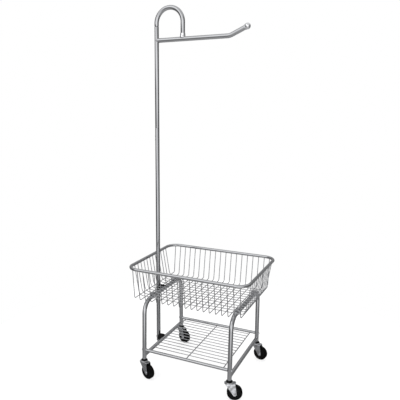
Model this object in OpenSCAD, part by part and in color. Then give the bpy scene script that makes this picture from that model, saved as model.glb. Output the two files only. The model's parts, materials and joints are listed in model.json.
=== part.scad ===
// Wire laundry cart with a basket, a lower shelf, four swivel casters and a hanging pole.
// The origin is on the floor under the middle of the basket: +X is the cart's right-hand end,
// -Y its front, +Z up. All sizes are in millimetres and angles in degrees.

/* [Frame] */
// Distance between the two arches, centre to centre
frame_w = 474.2; // [400:0.1:600]
// Distance between the two feet of an arch, centre to centre
frame_d = 449.6; // [380:0.1:520]
// Height of the bar of each arch
bar_z = 415.5; // [330:0.5:520]
// Outer diameter of the frame, pole and arm tubes
tube_d = 22.2; // [19:0.1:25.4]
// Wall thickness of every tube
tube_wall = 1.2; // [1:0.1:2]
// Lean of each leg towards the middle of the cart
leg_lean = 1.5; // [0:0.1:3]
// Bend radius between a leg and its bar
arch_bend = 66; // [45:1:80]
// Outer diameter of the side rails
side_rail_d = 19; // [16:0.5:22]

/* [Shelf] */
// Height of the front and back shelf rails
shelf_z = 151.5; // [145:0.5:300]
// Outer diameter of the shelf rails and of the basket rim
rail_d = 16; // [14:0.5:19]
// Diameter of the three cross wires of the shelf
shelf_cross_d = 5; // [4:0.5:6]
// Distance between two long shelf wires
shelf_pitch = 30.5; // [24:0.5:31]

/* [Basket] */
// How far each end of the basket rim stands outside its arch, centre to centre
rim_reach_w = 81.7; // [60:0.1:110]
// How far the front and back of the basket rim stand outside the feet, centre to centre
rim_reach_d = 29.6; // [15:0.1:60]
// Height of the basket rim
rim_z = 594.9; // [520:0.1:720]
// Corner radius of the basket rim
rim_corner = 60; // [45:1:75]
// Diameter of the basket and long shelf wires
wire_d = 4; // [3:0.25:4.5]
// Distance between two basket wires
basket_pitch = 32; // [30:0.5:34]

/* [Pole] */
// Height of the arm that the clothes hang from
arm_z = 1732; // [1400:1:1900]
// Distance from the left arch to the pole, centre to centre
pole_offset = 35.8; // [34:0.1:37]
// Length of the level part of the arm, from the middle of the pole to the bend
arm_l = 391.9; // [300:0.1:450]
// Centre-line radius of the two bends of the loop at the top of the pole
loop_r = 72; // [50:1:90]
// Height of the joint between the lower and the upper pole tube
joint_z = 1295; // [900:1:1350]
// Slope of the tip of the arm
tip_slope = 23.5; // [10:0.5:40]

/* [Casters] */
// Diameter of the wheels
wheel_d = 76.2; // [63:0.1:96]
// Width of the wheels
wheel_w = 24; // [20:0.5:28]
// Distance from the swivel axis to the axle
trail = 26.8; // [24:0.2:34]
// Resting swivel angle of the front left caster
angle_fl = -16.6; // [-60:0.1:60]
// Resting swivel angle of the front right caster
angle_fr = 22.8; // [-60:0.1:60]
// Resting swivel angle of the back right caster
angle_br = -9.7; // [-60:0.1:60]
// Resting swivel angle of the back left caster
angle_bl = -17.1; // [-60:0.1:60]

/* [Hidden] */
$fn = 48;

// Gap between two bodies that move against each other, and the radial play of a running fit
move_gap = 0.3;
running_play = 0.05;
// How far a cutting shape runs past the face that it cuts
cut = 1;
// A straight run reaches this far into a bend, and a bend is thicker than its run by this share
lap = 0.3;
bend_swell = 1 / 110;

// Casters, from the floor up
wheel_r = wheel_d / 2;
wheel_core_r = wheel_r - 10;
tyre_round = 5;
fork_clear = 10.3;
fork_t = 2.5;
fork_gap = wheel_w + 3;
// The fork's top plate starts this far ahead of the swivel axis and ends this far behind the axle
fork_front = 25;
fork_tail = 6.2;
fork_corner = 4;
// The legs start this far in from the ends of the plate
fork_inset = 5;
// The round foot of each leg has its centre this far below the axle
fork_eye_r = 9;
fork_eye_drop = 4;
// The straight edges of a leg cross its round foot this far inside the foot's edge
fork_eye_lap = 0.05;
plate_z = wheel_d + fork_clear;
race_z = plate_z + fork_t + move_gap;
race_h = 5;
race_d = 39;
race_top_d = 30;
socket_z = race_z + race_h;
socket_flange_h = 4;
socket_flange_d = 33;
socket_plug_h = 34;
stem_d = 10;
stem_head_d = 16;
stem_head_h = 3;
axle_d = 8;
axle_head_d = 13;
axle_head_h = 3.5;
axle_nut_w = 13;
axle_nut_h = 5.5;
hub_d = 22;

// Frame
foot_z = socket_z + socket_flange_h;
half_w = frame_w / 2;
half_d = frame_d / 2;
bore_d = tube_d - 2 * tube_wall;
function leg_y(z) = half_d - (z - foot_z) * tan(leg_lean);
side_rail_z = foot_z + 22.4;

// Shelf
rail_bore_d = rail_d - 2 * tube_wall;
shelf_y = leg_y(shelf_z);
shelf_cross_x = half_w - 36.1;
shelf_wire_z = shelf_z + shelf_cross_d / 2 + wire_d / 2;
shelf_wire_overhang = 3.5;
// The long wires fill the shelf up to this distance from the middle of a rail
shelf_wire_margin = 30;
shelf_wires_half = floor((shelf_y - shelf_wire_margin) / shelf_pitch);
plug_l = 25;
shelf_bolt_d = 6;
shelf_bolt_l = 27;
shelf_bolt_head_d = 13;
shelf_bolt_head_h = 4.5;

// Basket: the long wires rest on the bars and the cross wires hang under the long ones
long_wire_z = bar_z + tube_d / 2 + wire_d / 2;
cross_wire_z = long_wire_z - wire_d;
half_rim_w = half_w + rim_reach_w;
half_rim_d = half_d + rim_reach_d;
floor_half_w = half_rim_w - 28.8;
floor_half_d = half_rim_d - 25.4;
long_bend = 27;
cross_bend = 12;
rim_seam = 0.4;
rim_joiner_l = 40;
wall_slope = atan2(half_rim_w - floor_half_w, rim_z - long_wire_z);
long_turn = 90 - wall_slope;
bend_start_x = floor_half_w - long_bend * tan(long_turn / 2);
// The raised end wire touches the outside of the long wires half-way round their bend
end_wire_x = bend_start_x + (long_bend + wire_d) * sin(long_turn / 2);
end_wire_z = long_wire_z + long_bend - (long_bend + wire_d) * cos(long_turn / 2);
end_wire_rim_y = rim_y(end_wire_x);
end_wire_floor_y = end_wire_rim_y - 17;
// The other cross wires divide the space between the two bars evenly, so that none of them meets a bar
cross_span = 2 * half_w - tube_d - wire_d;
cross_gaps = round(cross_span / basket_pitch);
cross_pitch = cross_span / cross_gaps;
// They go on outside the bars to where the long wires start to bend or the pole comes through
cross_end_x = min(bend_start_x, half_w + pole_offset - tube_d / 2) - wire_d / 2;
cross_wires_out = floor((cross_end_x - cross_span / 2) / cross_pitch);
function cross_x(i) = (i - cross_gaps / 2) * cross_pitch;
// The seam of the rim lies half-way between two cross wires
rim_seam_x = cross_x(floor(cross_gaps / 2) + 1 / 2);
// The long wires end on the straight part of the rim
long_wires_half = floor((half_rim_d - rim_corner - wire_d / 2) / basket_pitch + 1 / 2);
// Half the depth of the rim at a distance x from its middle, on its straight sides or in a corner
function rim_y(x) = half_rim_d - rim_corner
    + sqrt(pow(rim_corner, 2) - pow(max(0, x - half_rim_w + rim_corner), 2));
clip_w = 14;
// The clips sit between two long wires, as far out as the straight part of the bar lets them
bar_straight = leg_y(bar_z) - arch_bend * tan((90 - leg_lean) / 2);
clip_y = basket_pitch * min(floor((bar_straight - clip_w / 2) / basket_pitch), long_wires_half - 1);
clip_t = 2;
clip_bridge_w = 12;
clip_neck_w = 8;

// Pole, loop and arm
pole_x = -half_w - pole_offset;
pole_r = tube_d / 2;
pole_z = foot_z + 1.7;
loop_z = arm_z + 81;
loop_flat = 2;
loop_foot_x = pole_x + 2 * loop_r + loop_flat;
upper_seam_z = loop_z - 15;
spigot_l = 35;
sleeve_l = 160;
sleeve_wall = 1.5;
arm_bend_x = pole_x + arm_l;
arm_bend = 60;
tip_l = 80.7;
tip = [arm_bend_x + tip_l * cos(tip_slope), arm_z + tip_l * sin(tip_slope)];
ball_d = 30;
ball_offset = 13;
ball_neck_d = 25;
collar_h = 16;
collar_flange_h = 3;
// A notched end stops this far short of the axis of the tube that it meets
notch_short = tube_d / 4;
collar_d = 30;
collar_top_d = 25;
cap_h = 2.5;
cap_plug_h = 14;
screw_d = 4;
screw_head_d = 8.5;
screw_head_h = 2.6;
screw_depths = [43, 62];
spacer_d = 38;
spacer_wrap = 3;
spacer_groove_play = 0.4;
pole_bolt_d = 6;
pole_bolt_head_d = 12;
pole_bolt_head_h = 4;
pole_nut_w = 10;
pole_nut_h = 5;
hole_play = 0.4;

// Corner, side in X, side in Y and resting angle of each caster
CASTERS = [
    ["front_left", -1, -1, angle_fl],
    ["front_right", 1, -1, angle_fr],
    ["back_right", 1, 1, angle_br],
    ["back_left", -1, 1, angle_bl]
];
CASTER_PARTS = ["socket", "stem", "race_cap", "fork", "axle", "axle_nut", "wheel_core", "tyre"];

// ---- Round bars and tubes bent in one plane ----

function unit(v) = v / norm(v);
function side_of(u, v) = u[0] * v[1] - u[1] * v[0] > 0 ? 1 : -1;
function turn_at(u, v) = acos(u * v);

// Where the straight run next to point i ends, on the side of the neighbouring point j
function run_end(points, i, j, r) =
    i == 0 || i == len(points) - 1
    ? points[i]
    : let (u = unit(points[i] - points[i - 1]), v = unit(points[i + 1] - points[i]))
      points[i] + unit(points[j] - points[i]) * (r * tan(turn_at(u, v) / 2) - lap);

// The same points with both ends moved outwards by e
function lengthen(points, e) = [
    for (i = [0 : len(points) - 1])
        i == 0 ? points[i] - unit(points[1] - points[0]) * e
        : i == len(points) - 1 ? points[i] + unit(points[i] - points[i - 1]) * e
        : points[i]
];

// Straight round bar in the XY plane
module rod(start, finish, d) {
    run = finish - start;
    translate([start[0], start[1], 0])
        rotate([0, 90, atan2(run[1], run[0])])
            cylinder(h = norm(run), d = d);
}

// Bend of centre-line radius r at the corner between a, b and c
module elbow(a, b, c, r, d) {
    u = unit(b - a);
    v = unit(c - b);
    side = side_of(u, v);
    turn = turn_at(u, v);
    inward = side * [-u[1], u[0]];
    centre = b - u * r * tan(turn / 2) + inward * r;
    first = atan2(-inward[1], -inward[0]);
    translate([centre[0], centre[1], 0])
        rotate([0, 0, side > 0 ? first : first - turn])
            rotate_extrude(angle = turn)
                translate([r, 0]) circle(d = d * (1 + bend_swell));
}

// Round bar through the points, bent to radius r at each corner
module bar(points, r, d) {
    last = len(points) - 1;
    for (i = [0 : last - 1])
        rod(run_end(points, i, i + 1, r), run_end(points, i + 1, i, r), d);
    if (last > 1)
        for (i = [1 : last - 1])
            elbow(points[i - 1], points[i], points[i + 1], r, d);
}

// Tube through the points, open at both ends
module tube(points, r, d) {
    difference() {
        bar(points, r, d);
        bar(lengthen(points, cut), r, d - 2 * tube_wall);
    }
}

// Turn a shape drawn in XY so that its X runs along X or Y and its Y runs up
module upright_x() { rotate([90, 0, 0]) children(); }
module upright_y() { rotate([90, 0, 90]) children(); }

// Cylinder along X that starts at x and is h long
module x_cylinder(x, h, d) { translate([x, 0, 0]) rotate([0, 90, 0]) cylinder(h = h, d = d); }

// Low dome on a flat base, with its top along +Z
module dome_head(d, h) {
    r = (d * d / 4 + h * h) / (2 * h);
    intersection() {
        cylinder(h = h + cut, d = d);
        translate([0, 0, h - r]) sphere(r = r, $fn = 64);
    }
}

// ---- Frame ----

function arch_points() = [
    [-leg_y(foot_z - 20), foot_z - 20], [-leg_y(bar_z), bar_z],
    [leg_y(bar_z), bar_z], [leg_y(foot_z - 20), foot_z - 20]
];

// Outside of one arch as a filled shape, which the welded pieces are notched to fit
module arch_outside(side) {
    translate([side * half_w, 0, 0]) upright_y() bar(arch_points(), arch_bend, tube_d);
}

module at_shelf_bolts(side) {
    for (y = [-shelf_y, shelf_y])
        translate([side * half_w, y, shelf_z]) children();
}

// Turn a shape whose +X points at the middle of the cart on the left side to suit either side
module inwards(side) { mirror([side > 0 ? 1 : 0, 0, 0]) children(); }

module arch(side) {
    color("silver")
        difference() {
            translate([side * half_w, 0, 0]) upright_y() tube(arch_points(), arch_bend, tube_d);
            translate([-frame_w, -frame_d, 0]) cube([2 * frame_w, 2 * frame_d, foot_z]);
            at_shelf_bolts(side) x_cylinder(-tube_d, 2 * tube_d, shelf_bolt_d + hole_play);
            if (side < 0)
                translate([side * half_w, 0, bar_z])
                    x_cylinder(-tube_d, 2 * tube_d, pole_bolt_d + hole_play);
        }
}

module side_rail(side) {
    end_y = leg_y(side_rail_z);
    color("silver")
        difference() {
            translate([side * half_w, 0, side_rail_z])
                upright_y() tube([[-end_y, 0], [end_y, 0]], 0, side_rail_d);
            arch_outside(side);
            if (side < 0)
                translate([side * half_w, 0, side_rail_z])
                    x_cylinder(-tube_d, 2 * tube_d, pole_bolt_d + hole_play);
        }
}

// ---- Lower shelf ----

module shelf_rail_outside(side) {
    translate([-half_w, side * shelf_y, shelf_z]) x_cylinder(0, frame_w, rail_d);
}

module shelf_rail(side) {
    color("silver")
        difference() {
            shelf_rail_outside(side);
            translate([-half_w, side * shelf_y, shelf_z])
                x_cylinder(-cut, frame_w + 2 * cut, rail_bore_d);
            arch_outside(-1);
            arch_outside(1);
        }
}

module shelf_rail_plugs() {
    color("dimgray")
        for (side = [-1, 1])
            difference() {
                at_shelf_bolts(side) inwards(side) x_cylinder(0, plug_l + pole_r, rail_bore_d);
                at_shelf_bolts(side) x_cylinder(-shelf_bolt_l, 2 * shelf_bolt_l, shelf_bolt_d);
                arch_outside(side);
            }
}

module shelf_bolts() {
    color("silver")
        for (side = [-1, 1]) {
            at_shelf_bolts(side) inwards(side)
                x_cylinder(-pole_r, shelf_bolt_l + pole_r, shelf_bolt_d);
            difference() {
                at_shelf_bolts(side) inwards(side)
                    translate([1 - pole_r, 0, 0]) rotate([0, -90, 0])
                        dome_head(shelf_bolt_head_d, shelf_bolt_head_h + 1);
                arch_outside(side);
            }
        }
}

module shelf_cross_wires() {
    color("silver")
        difference() {
            for (x = [-1, 0, 1] * shelf_cross_x)
                translate([x, 0, shelf_z]) upright_y() bar([[-shelf_y, 0], [shelf_y, 0]], 0, shelf_cross_d);
            shelf_rail_outside(-1);
            shelf_rail_outside(1);
        }
}

module shelf_long_wires() {
    reach = shelf_cross_x + shelf_wire_overhang;
    color("silver")
        for (i = [-shelf_wires_half : shelf_wires_half])
            translate([0, i * shelf_pitch, shelf_wire_z])
                x_cylinder(-reach, 2 * reach, wire_d);
}

// ---- Basket ----

// Once round the rim, from one side of the seam at the back to the other
function rim_points() = [
    [rim_seam_x - rim_seam / 2, half_rim_d], [-half_rim_w, half_rim_d], [-half_rim_w, -half_rim_d],
    [half_rim_w, -half_rim_d], [half_rim_w, half_rim_d], [rim_seam_x + rim_seam / 2, half_rim_d]
];

module rim_outside() { translate([0, 0, rim_z]) bar(rim_points(), rim_corner, rail_d); }

module basket_rim() {
    color("silver")
        difference() {
            rim_outside();
            translate([0, 0, rim_z])
                bar(lengthen(rim_points(), rim_seam / 2), rim_corner, rail_bore_d);
        }
}

module rim_joiner() {
    color("silver")
        translate([rim_seam_x, half_rim_d, rim_z])
            x_cylinder(-rim_joiner_l / 2, rim_joiner_l, rail_bore_d);
}

// Wire bent to a U that is open upwards: half widths at its floor and at the rim, and its floor height
module u_wire(floor_half, rim_half, floor_z, bend) {
    bar([[-rim_half, rim_z], [-floor_half, floor_z], [floor_half, floor_z], [rim_half, rim_z]],
        bend, wire_d);
}

module basket_cross_wires() {
    color("silver")
        difference() {
            union() {
                for (i = [-cross_wires_out : cross_gaps + cross_wires_out])
                    translate([cross_x(i), 0, 0])
                        upright_y()
                            u_wire(floor_half_d, rim_y(abs(cross_x(i))), cross_wire_z, cross_bend);
                for (x = [-end_wire_x, end_wire_x])
                    translate([x, 0, 0])
                        upright_y() u_wire(end_wire_floor_y, end_wire_rim_y, end_wire_z, cross_bend);
            }
            rim_outside();
        }
}

module basket_long_wires() {
    color("silver")
        difference() {
            for (i = [1 - long_wires_half : long_wires_half])
                translate([0, (i - 1 / 2) * basket_pitch, 0])
                    upright_x() u_wire(floor_half_w, half_rim_w, long_wire_z, long_bend);
            rim_outside();
        }
}

// Saddle clip: a ring round the bar, and a bridge over the long wires on each side of it
module basket_clip() {
    bridge_z = long_wire_z + wire_d / 2;
    bridge_l = basket_pitch + 2 * wire_d;
    translate([0, -clip_w / 2, bar_z])
        rotate([-90, 0, 0]) cylinder(h = clip_w, d = tube_d + 2 * clip_t);
    translate([-clip_neck_w / 2, -clip_w / 2, bar_z])
        cube([clip_neck_w, clip_w, bridge_z - bar_z + clip_t]);
    translate([-clip_bridge_w / 2, -bridge_l / 2, bridge_z]) cube([clip_bridge_w, bridge_l, clip_t]);
}

module basket_clips() {
    color("silver")
        for (side = [-1, 1])
            difference() {
                for (y = [-clip_y, clip_y])
                    translate([side * half_w, y, 0]) basket_clip();
                arch_outside(side);
            }
}

// ---- Hanging pole ----

module at_pole() { translate([pole_x, 0, 0]) children(); }

// One straight length of the pole, open at both ends
module pole_tube(low, high) {
    at_pole()
        difference() {
            translate([0, 0, low]) cylinder(h = high - low, d = tube_d);
            translate([0, 0, low - cut]) cylinder(h = high - low + 2 * cut, d = bore_d);
        }
}

// The two bolts that hold the pole run along X at these heights
module at_pole_bolts() {
    for (z = [side_rail_z, bar_z])
        translate([0, 0, z]) children();
}

module at_joint_screws() {
    for (depth = screw_depths)
        translate([pole_x, 0, joint_z - depth]) children();
}

module pole_lower() {
    color("silver")
        difference() {
            pole_tube(pole_z, joint_z);
            at_pole() at_pole_bolts() x_cylinder(-tube_d, 2 * tube_d, pole_bolt_d + hole_play);
            at_joint_screws() x_cylinder(-tube_d, tube_d, screw_d + hole_play);
        }
}

module pole_cap() {
    color("black")
        at_pole() {
            translate([0, 0, pole_z - cap_h]) cylinder(h = cap_h, d = tube_d);
            translate([0, 0, pole_z]) cylinder(h = cap_plug_h, d = bore_d);
        }
}

module pole_sleeve() {
    color("silver")
        difference() {
            at_pole() translate([0, 0, joint_z - sleeve_l / 2]) cylinder(h = sleeve_l, d = bore_d);
            at_pole() translate([0, 0, joint_z - sleeve_l / 2 - cut])
                cylinder(h = sleeve_l + 2 * cut, d = bore_d - 2 * sleeve_wall);
            at_joint_screws() x_cylinder(-tube_d, tube_d, screw_d);
        }
}

module pole_screws() {
    color("silver")
        difference() {
            at_joint_screws() {
                x_cylinder(1 - pole_r, 6, screw_d);
                translate([1.5 - pole_r, 0, 0]) rotate([0, -90, 0])
                    dome_head(screw_head_d, screw_head_h + 1.5);
            }
            difference() {
                at_pole() translate([0, 0, pole_z]) cylinder(h = joint_z - pole_z, d = tube_d);
                at_joint_screws() x_cylinder(-tube_d, tube_d, screw_d);
            }
        }
}

module pole_upper() { color("silver") pole_tube(joint_z, upper_seam_z); }

// Loop tube with a reduced spigot that goes down into the upper pole tube
module pole_loop() {
    foot = [[pole_x, upper_seam_z], [pole_x, loop_z + loop_r],
            [loop_foot_x, loop_z + loop_r], [loop_foot_x, arm_z + notch_short]];
    color("silver")
        difference() {
            union() {
                upright_x() bar(foot, loop_r, tube_d);
                at_pole() translate([0, 0, upper_seam_z - spigot_l]) cylinder(h = spigot_l, d = bore_d);
            }
            upright_x() bar(lengthen(foot, cut + spigot_l), loop_r, bore_d - 2 * sleeve_wall);
            arm_outside();
        }
}

function arm_points() = [[pole_x + notch_short, arm_z], [arm_bend_x, arm_z], tip];

module arm_outside() { upright_x() bar(arm_points(), arm_bend, tube_d); }

module hanging_arm() {
    color("silver")
        difference() {
            arm_outside();
            upright_x() bar(lengthen(arm_points(), cut), arm_bend, bore_d);
            at_pole() translate([0, 0, arm_z - tube_d]) cylinder(h = 2 * tube_d, d = tube_d);
        }
}

module loop_collar() {
    top = tube_d / 2 + collar_h;
    profile = [[0, notch_short], [collar_d / 2, notch_short],
               [collar_d / 2, notch_short + collar_flange_h], [collar_top_d / 2, top], [0, top]];
    color("silver")
        difference() {
            translate([loop_foot_x, 0, arm_z]) rotate_extrude() polygon(profile);
            arm_outside();
            translate([loop_foot_x, 0, arm_z]) cylinder(h = 2 * tube_d, d = tube_d);
        }
}

// Ball on a neck ring, with a spigot that goes into the end of the arm
module arm_ball() {
    color("silver")
        translate([tip[0], 0, tip[1]]) rotate([0, 90 - tip_slope, 0]) {
            cylinder(h = ball_offset / 2, d = ball_neck_d);
            translate([0, 0, ball_offset]) sphere(d = ball_d);
            translate([0, 0, -ball_neck_d]) cylinder(h = ball_neck_d, d = bore_d);
        }
}

// Puck between the pole and a frame tube, hollowed to fit both
module spacer(z, reach) {
    low_x = pole_x + spacer_wrap;
    difference() {
        translate([0, 0, z]) x_cylinder(low_x, reach - low_x, spacer_d);
        at_pole() cylinder(h = joint_z, d = tube_d);
        translate([0, 0, z]) x_cylinder(low_x - cut, reach - low_x + 2 * cut, pole_bolt_d);
    }
}

// Open grooves clear the basket wires that cross the upper spacer
module upper_spacer() {
    groove = wire_d + 2 * spacer_groove_play;
    color("black")
        difference() {
            spacer(bar_z, -half_w - spacer_wrap);
            arch_outside(-1);
            translate([cross_x(-1) - groove / 2, -spacer_d, cross_wire_z - groove / 2])
                cube([groove, 2 * spacer_d, spacer_d]);
            for (y = [-basket_pitch / 2, basket_pitch / 2])
                translate([pole_x, y - groove / 2, long_wire_z - groove / 2])
                    cube([pole_offset, groove, spacer_d]);
        }
}

module lower_spacer() {
    color("black")
        difference() {
            spacer(side_rail_z, -half_w - spacer_wrap);
            translate([-half_w, 0, side_rail_z])
                rotate([90, 0, 0]) cylinder(h = frame_d, d = side_rail_d, center = true);
        }
}

module pole_bolts() {
    color("silver")
        difference() {
            at_pole_bolts() {
                x_cylinder(pole_x - pole_r, pole_offset + tube_d + pole_nut_h, pole_bolt_d);
                translate([pole_x - pole_r + 1.5, 0, 0]) rotate([0, -90, 0])
                    dome_head(pole_bolt_head_d, pole_bolt_head_h + 1.5);
            }
            difference() {
                at_pole() cylinder(h = joint_z, d = tube_d);
                at_pole_bolts() x_cylinder(pole_x - tube_d, 2 * tube_d, pole_bolt_d);
            }
        }
}

// Hexagonal nut along X that seats on a tube of diameter d along Y
module seated_nut(d) {
    difference() {
        x_cylinder(d / 2 - 1.5, pole_nut_h + 1.5, pole_nut_w / cos(30), $fn = 6);
        x_cylinder(0, tube_d, pole_bolt_d);
        rotate([90, 0, 0]) cylinder(h = frame_d, d = d, center = true);
    }
}

module pole_nuts() {
    color("silver") {
        translate([-half_w, 0, side_rail_z]) seated_nut(side_rail_d);
        translate([-half_w, 0, bar_z]) seated_nut(tube_d);
    }
}

// ---- Casters ----

// A caster is drawn with its swivel axis on the Z axis, the floor at 0 and its wheel towards +X
module at_corner(caster) { translate([caster[1] * half_w, caster[2] * half_d, 0]) children(); }
module at_fork(caster) { at_corner(caster) rotate([0, 0, caster[3]]) children(); }

// Along the axle: shapes drawn round Z are turned to lie along Y through the wheel's centre
module at_axle() { translate([trail, 0, wheel_r]) rotate([90, 0, 0]) children(); }

// Plug with a flange: the plug follows the lean of its leg and the stem's hole is upright
module socket(side_y) {
    color("black")
        difference() {
            union() {
                translate([0, 0, socket_z]) cylinder(h = socket_flange_h, d = socket_flange_d);
                intersection() {
                    translate([0, 0, foot_z]) rotate([side_y * leg_lean, 0, 0])
                        translate([0, 0, -cut]) cylinder(h = socket_plug_h + cut, d = bore_d);
                    translate([0, 0, foot_z]) cylinder(h = socket_plug_h - cut, d = 2 * tube_d);
                }
            }
            translate([0, 0, socket_z - cut])
                cylinder(h = socket_flange_h + socket_plug_h + 2 * cut, d = stem_d);
        }
}

module stem() {
    color("gray") {
        translate([0, 0, plate_z - move_gap])
            cylinder(h = socket_z - plate_z + socket_plug_h, d = stem_d);
        translate([0, 0, plate_z - move_gap - stem_head_h]) cylinder(h = stem_head_h, d = stem_head_d);
    }
}

module race_cap() {
    profile = [[stem_d / 2, 0], [race_d / 2, 0], [race_d / 2, race_h * 0.4],
               [race_top_d / 2, race_h], [stem_d / 2, race_h]];
    color("gainsboro") translate([0, 0, race_z]) rotate_extrude() polygon(profile);
}

// Outline of one fork leg, seen from the side: its round foot and its shoulders
module fork_leg_outline() {
    eye = [trail, wheel_r - fork_eye_drop];
    shoulders = [[trail + fork_tail - fork_inset, plate_z], [fork_inset - fork_front, plate_z]];
    meet_r = fork_eye_r - fork_eye_lap;
    function tangent(p, side) =
        let (v = p - eye, turn = acos(meet_r / norm(v)), a = atan2(v[1], v[0]) + side * turn)
        eye + meet_r * [cos(a), sin(a)];
    translate(eye) circle(r = fork_eye_r);
    polygon([eye, tangent(shoulders[0], -1), shoulders[0] + [0, fork_t],
             shoulders[1] + [0, fork_t], shoulders[1], tangent(shoulders[1], 1)]);
}

// Outline of the fork's top plate, seen from above: a rectangle with round corners
module fork_plate_outline() {
    half = fork_gap / 2 + fork_t;
    length = fork_front + trail + fork_tail;
    translate([-fork_front, fork_corner - half]) square([length, 2 * (half - fork_corner)]);
    translate([fork_corner - fork_front, -half]) square([length - 2 * fork_corner, 2 * half]);
    for (x = [fork_corner - fork_front, trail + fork_tail - fork_corner], y = [-1, 1])
        translate([x, y * (half - fork_corner)]) circle(r = fork_corner);
}

module fork() {
    color("gainsboro")
        difference() {
            union() {
                translate([0, 0, plate_z]) linear_extrude(height = fork_t) fork_plate_outline();
                for (y = [-fork_gap / 2, fork_gap / 2 + fork_t])
                    translate([0, y, 0]) rotate([90, 0, 0])
                        linear_extrude(height = fork_t) fork_leg_outline();
            }
            translate([0, 0, plate_z - cut])
                cylinder(h = fork_t + 2 * cut, d = stem_d + 2 * running_play);
            at_axle() cylinder(h = 2 * fork_gap, d = axle_d, center = true);
        }
}

module axle() {
    face = fork_gap / 2 + fork_t;
    color("gray")
        at_axle() {
            translate([0, 0, -face - axle_nut_h]) cylinder(h = 2 * face + axle_nut_h, d = axle_d);
            translate([0, 0, face]) dome_head(axle_head_d, axle_head_h);
        }
}

module axle_nut() {
    color("gray")
        at_axle() translate([0, 0, -fork_gap / 2 - fork_t - axle_nut_h])
            difference() {
                cylinder(h = axle_nut_h, d = axle_nut_w / cos(30), $fn = 6);
                translate([0, 0, -cut]) cylinder(h = axle_nut_h + 2 * cut, d = axle_d);
            }
}

// Wheel core: a rim and a hub joined by a web, turned round the axle
module wheel_core() {
    bore_r = axle_d / 2 + running_play;
    hub_half = fork_gap / 2 - move_gap;
    rim_half = wheel_w / 2 - 1;
    web_half = 4;
    rim_t = 4;
    half = [[bore_r, hub_half], [hub_d / 2, hub_half], [hub_d / 2 + 1, web_half],
            [wheel_core_r - rim_t - 1, web_half], [wheel_core_r - rim_t, rim_half],
            [wheel_core_r, rim_half]];
    mirrored = [for (i = [len(half) - 1 : -1 : 0]) [half[i][0], -half[i][1]]];
    color("black") at_axle() rotate_extrude($fn = 96) polygon(concat(half, mirrored));
}

module tyre() {
    color("black")
        at_axle() rotate_extrude($fn = 96)
            difference() {
                union() {
                    translate([wheel_core_r, -wheel_w / 2])
                        square([wheel_r - wheel_core_r - tyre_round, wheel_w]);
                    translate([wheel_core_r, tyre_round - wheel_w / 2])
                        square([wheel_r - wheel_core_r, wheel_w - 2 * tyre_round]);
                    for (y = [-1, 1] * (wheel_w / 2 - tyre_round))
                        translate([wheel_r - tyre_round, y]) circle(r = tyre_round);
                }
                translate([0, -wheel_w]) square([wheel_core_r, 2 * wheel_w]);
            }
}

// ---- The cart ----

arch(-1);  // left_arch
arch(1);  // right_arch
side_rail(-1);  // left_side_rail
side_rail(1);  // right_side_rail
shelf_rail(-1);  // front_shelf_rail
shelf_rail(1);  // back_shelf_rail
shelf_rail_plugs();
shelf_bolts();
shelf_cross_wires();
shelf_long_wires();
basket_rim();
rim_joiner();
basket_cross_wires();
basket_long_wires();
basket_clips();
pole_lower();
pole_cap();
pole_sleeve();
pole_screws();
pole_upper();
pole_loop();
loop_collar();
hanging_arm();
arm_ball();
upper_spacer();
lower_spacer();
pole_bolts();
pole_nuts();

for (c = CASTERS) {
    at_corner(c) socket(c[2]);
    at_corner(c) stem();
    at_corner(c) race_cap();
    at_fork(c) fork();
    at_fork(c) axle();
    at_fork(c) axle_nut();
    at_fork(c) wheel_core();
    at_fork(c) tyre();
}
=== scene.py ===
# %% [markdown]
# # A wire laundry cart in chrome
#
# The cart is tube, wire, pressed steel and a little black plastic. Its exact parts come from the
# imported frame; this file rebuilds every visible one as a fine mesh, so that the chrome has smooth
# surfaces to reflect in, and adds what a maker would see: weld beads, rolled edges, screw heads.

# %% Load the frame
import json
from math import acos, asin, atan2, cos, pi, radians, sin, sqrt, tan

import bmesh
import bpy
from mathutils import Matrix, Vector


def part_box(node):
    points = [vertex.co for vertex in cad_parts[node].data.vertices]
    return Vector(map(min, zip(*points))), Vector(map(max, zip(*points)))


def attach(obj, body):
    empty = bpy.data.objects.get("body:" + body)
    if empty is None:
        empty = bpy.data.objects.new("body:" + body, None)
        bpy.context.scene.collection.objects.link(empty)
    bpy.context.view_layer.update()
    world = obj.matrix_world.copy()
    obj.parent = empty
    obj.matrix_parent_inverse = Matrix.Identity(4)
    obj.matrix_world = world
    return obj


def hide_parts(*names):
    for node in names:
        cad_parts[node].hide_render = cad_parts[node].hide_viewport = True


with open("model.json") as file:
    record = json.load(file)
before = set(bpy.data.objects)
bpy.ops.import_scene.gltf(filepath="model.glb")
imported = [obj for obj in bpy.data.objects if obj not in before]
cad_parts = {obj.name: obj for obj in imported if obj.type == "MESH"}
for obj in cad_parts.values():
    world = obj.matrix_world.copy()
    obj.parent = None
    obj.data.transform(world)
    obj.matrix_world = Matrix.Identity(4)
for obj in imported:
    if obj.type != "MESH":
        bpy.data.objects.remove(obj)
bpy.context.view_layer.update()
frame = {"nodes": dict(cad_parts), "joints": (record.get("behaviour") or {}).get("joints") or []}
MM = 0.001

# %% [markdown]
# ## Where things are
#
# Nothing is placed by eye. Each centre line is read from the box of the exact part it belongs to,
# so the fine mesh lands on the part. Only small details, such as a weld's width, are stated here.

# %% Read the centre lines from the exact parts


def middle(node):
    """Centre of a part's box."""
    low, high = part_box(node)
    return (low + high) / 2


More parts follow.
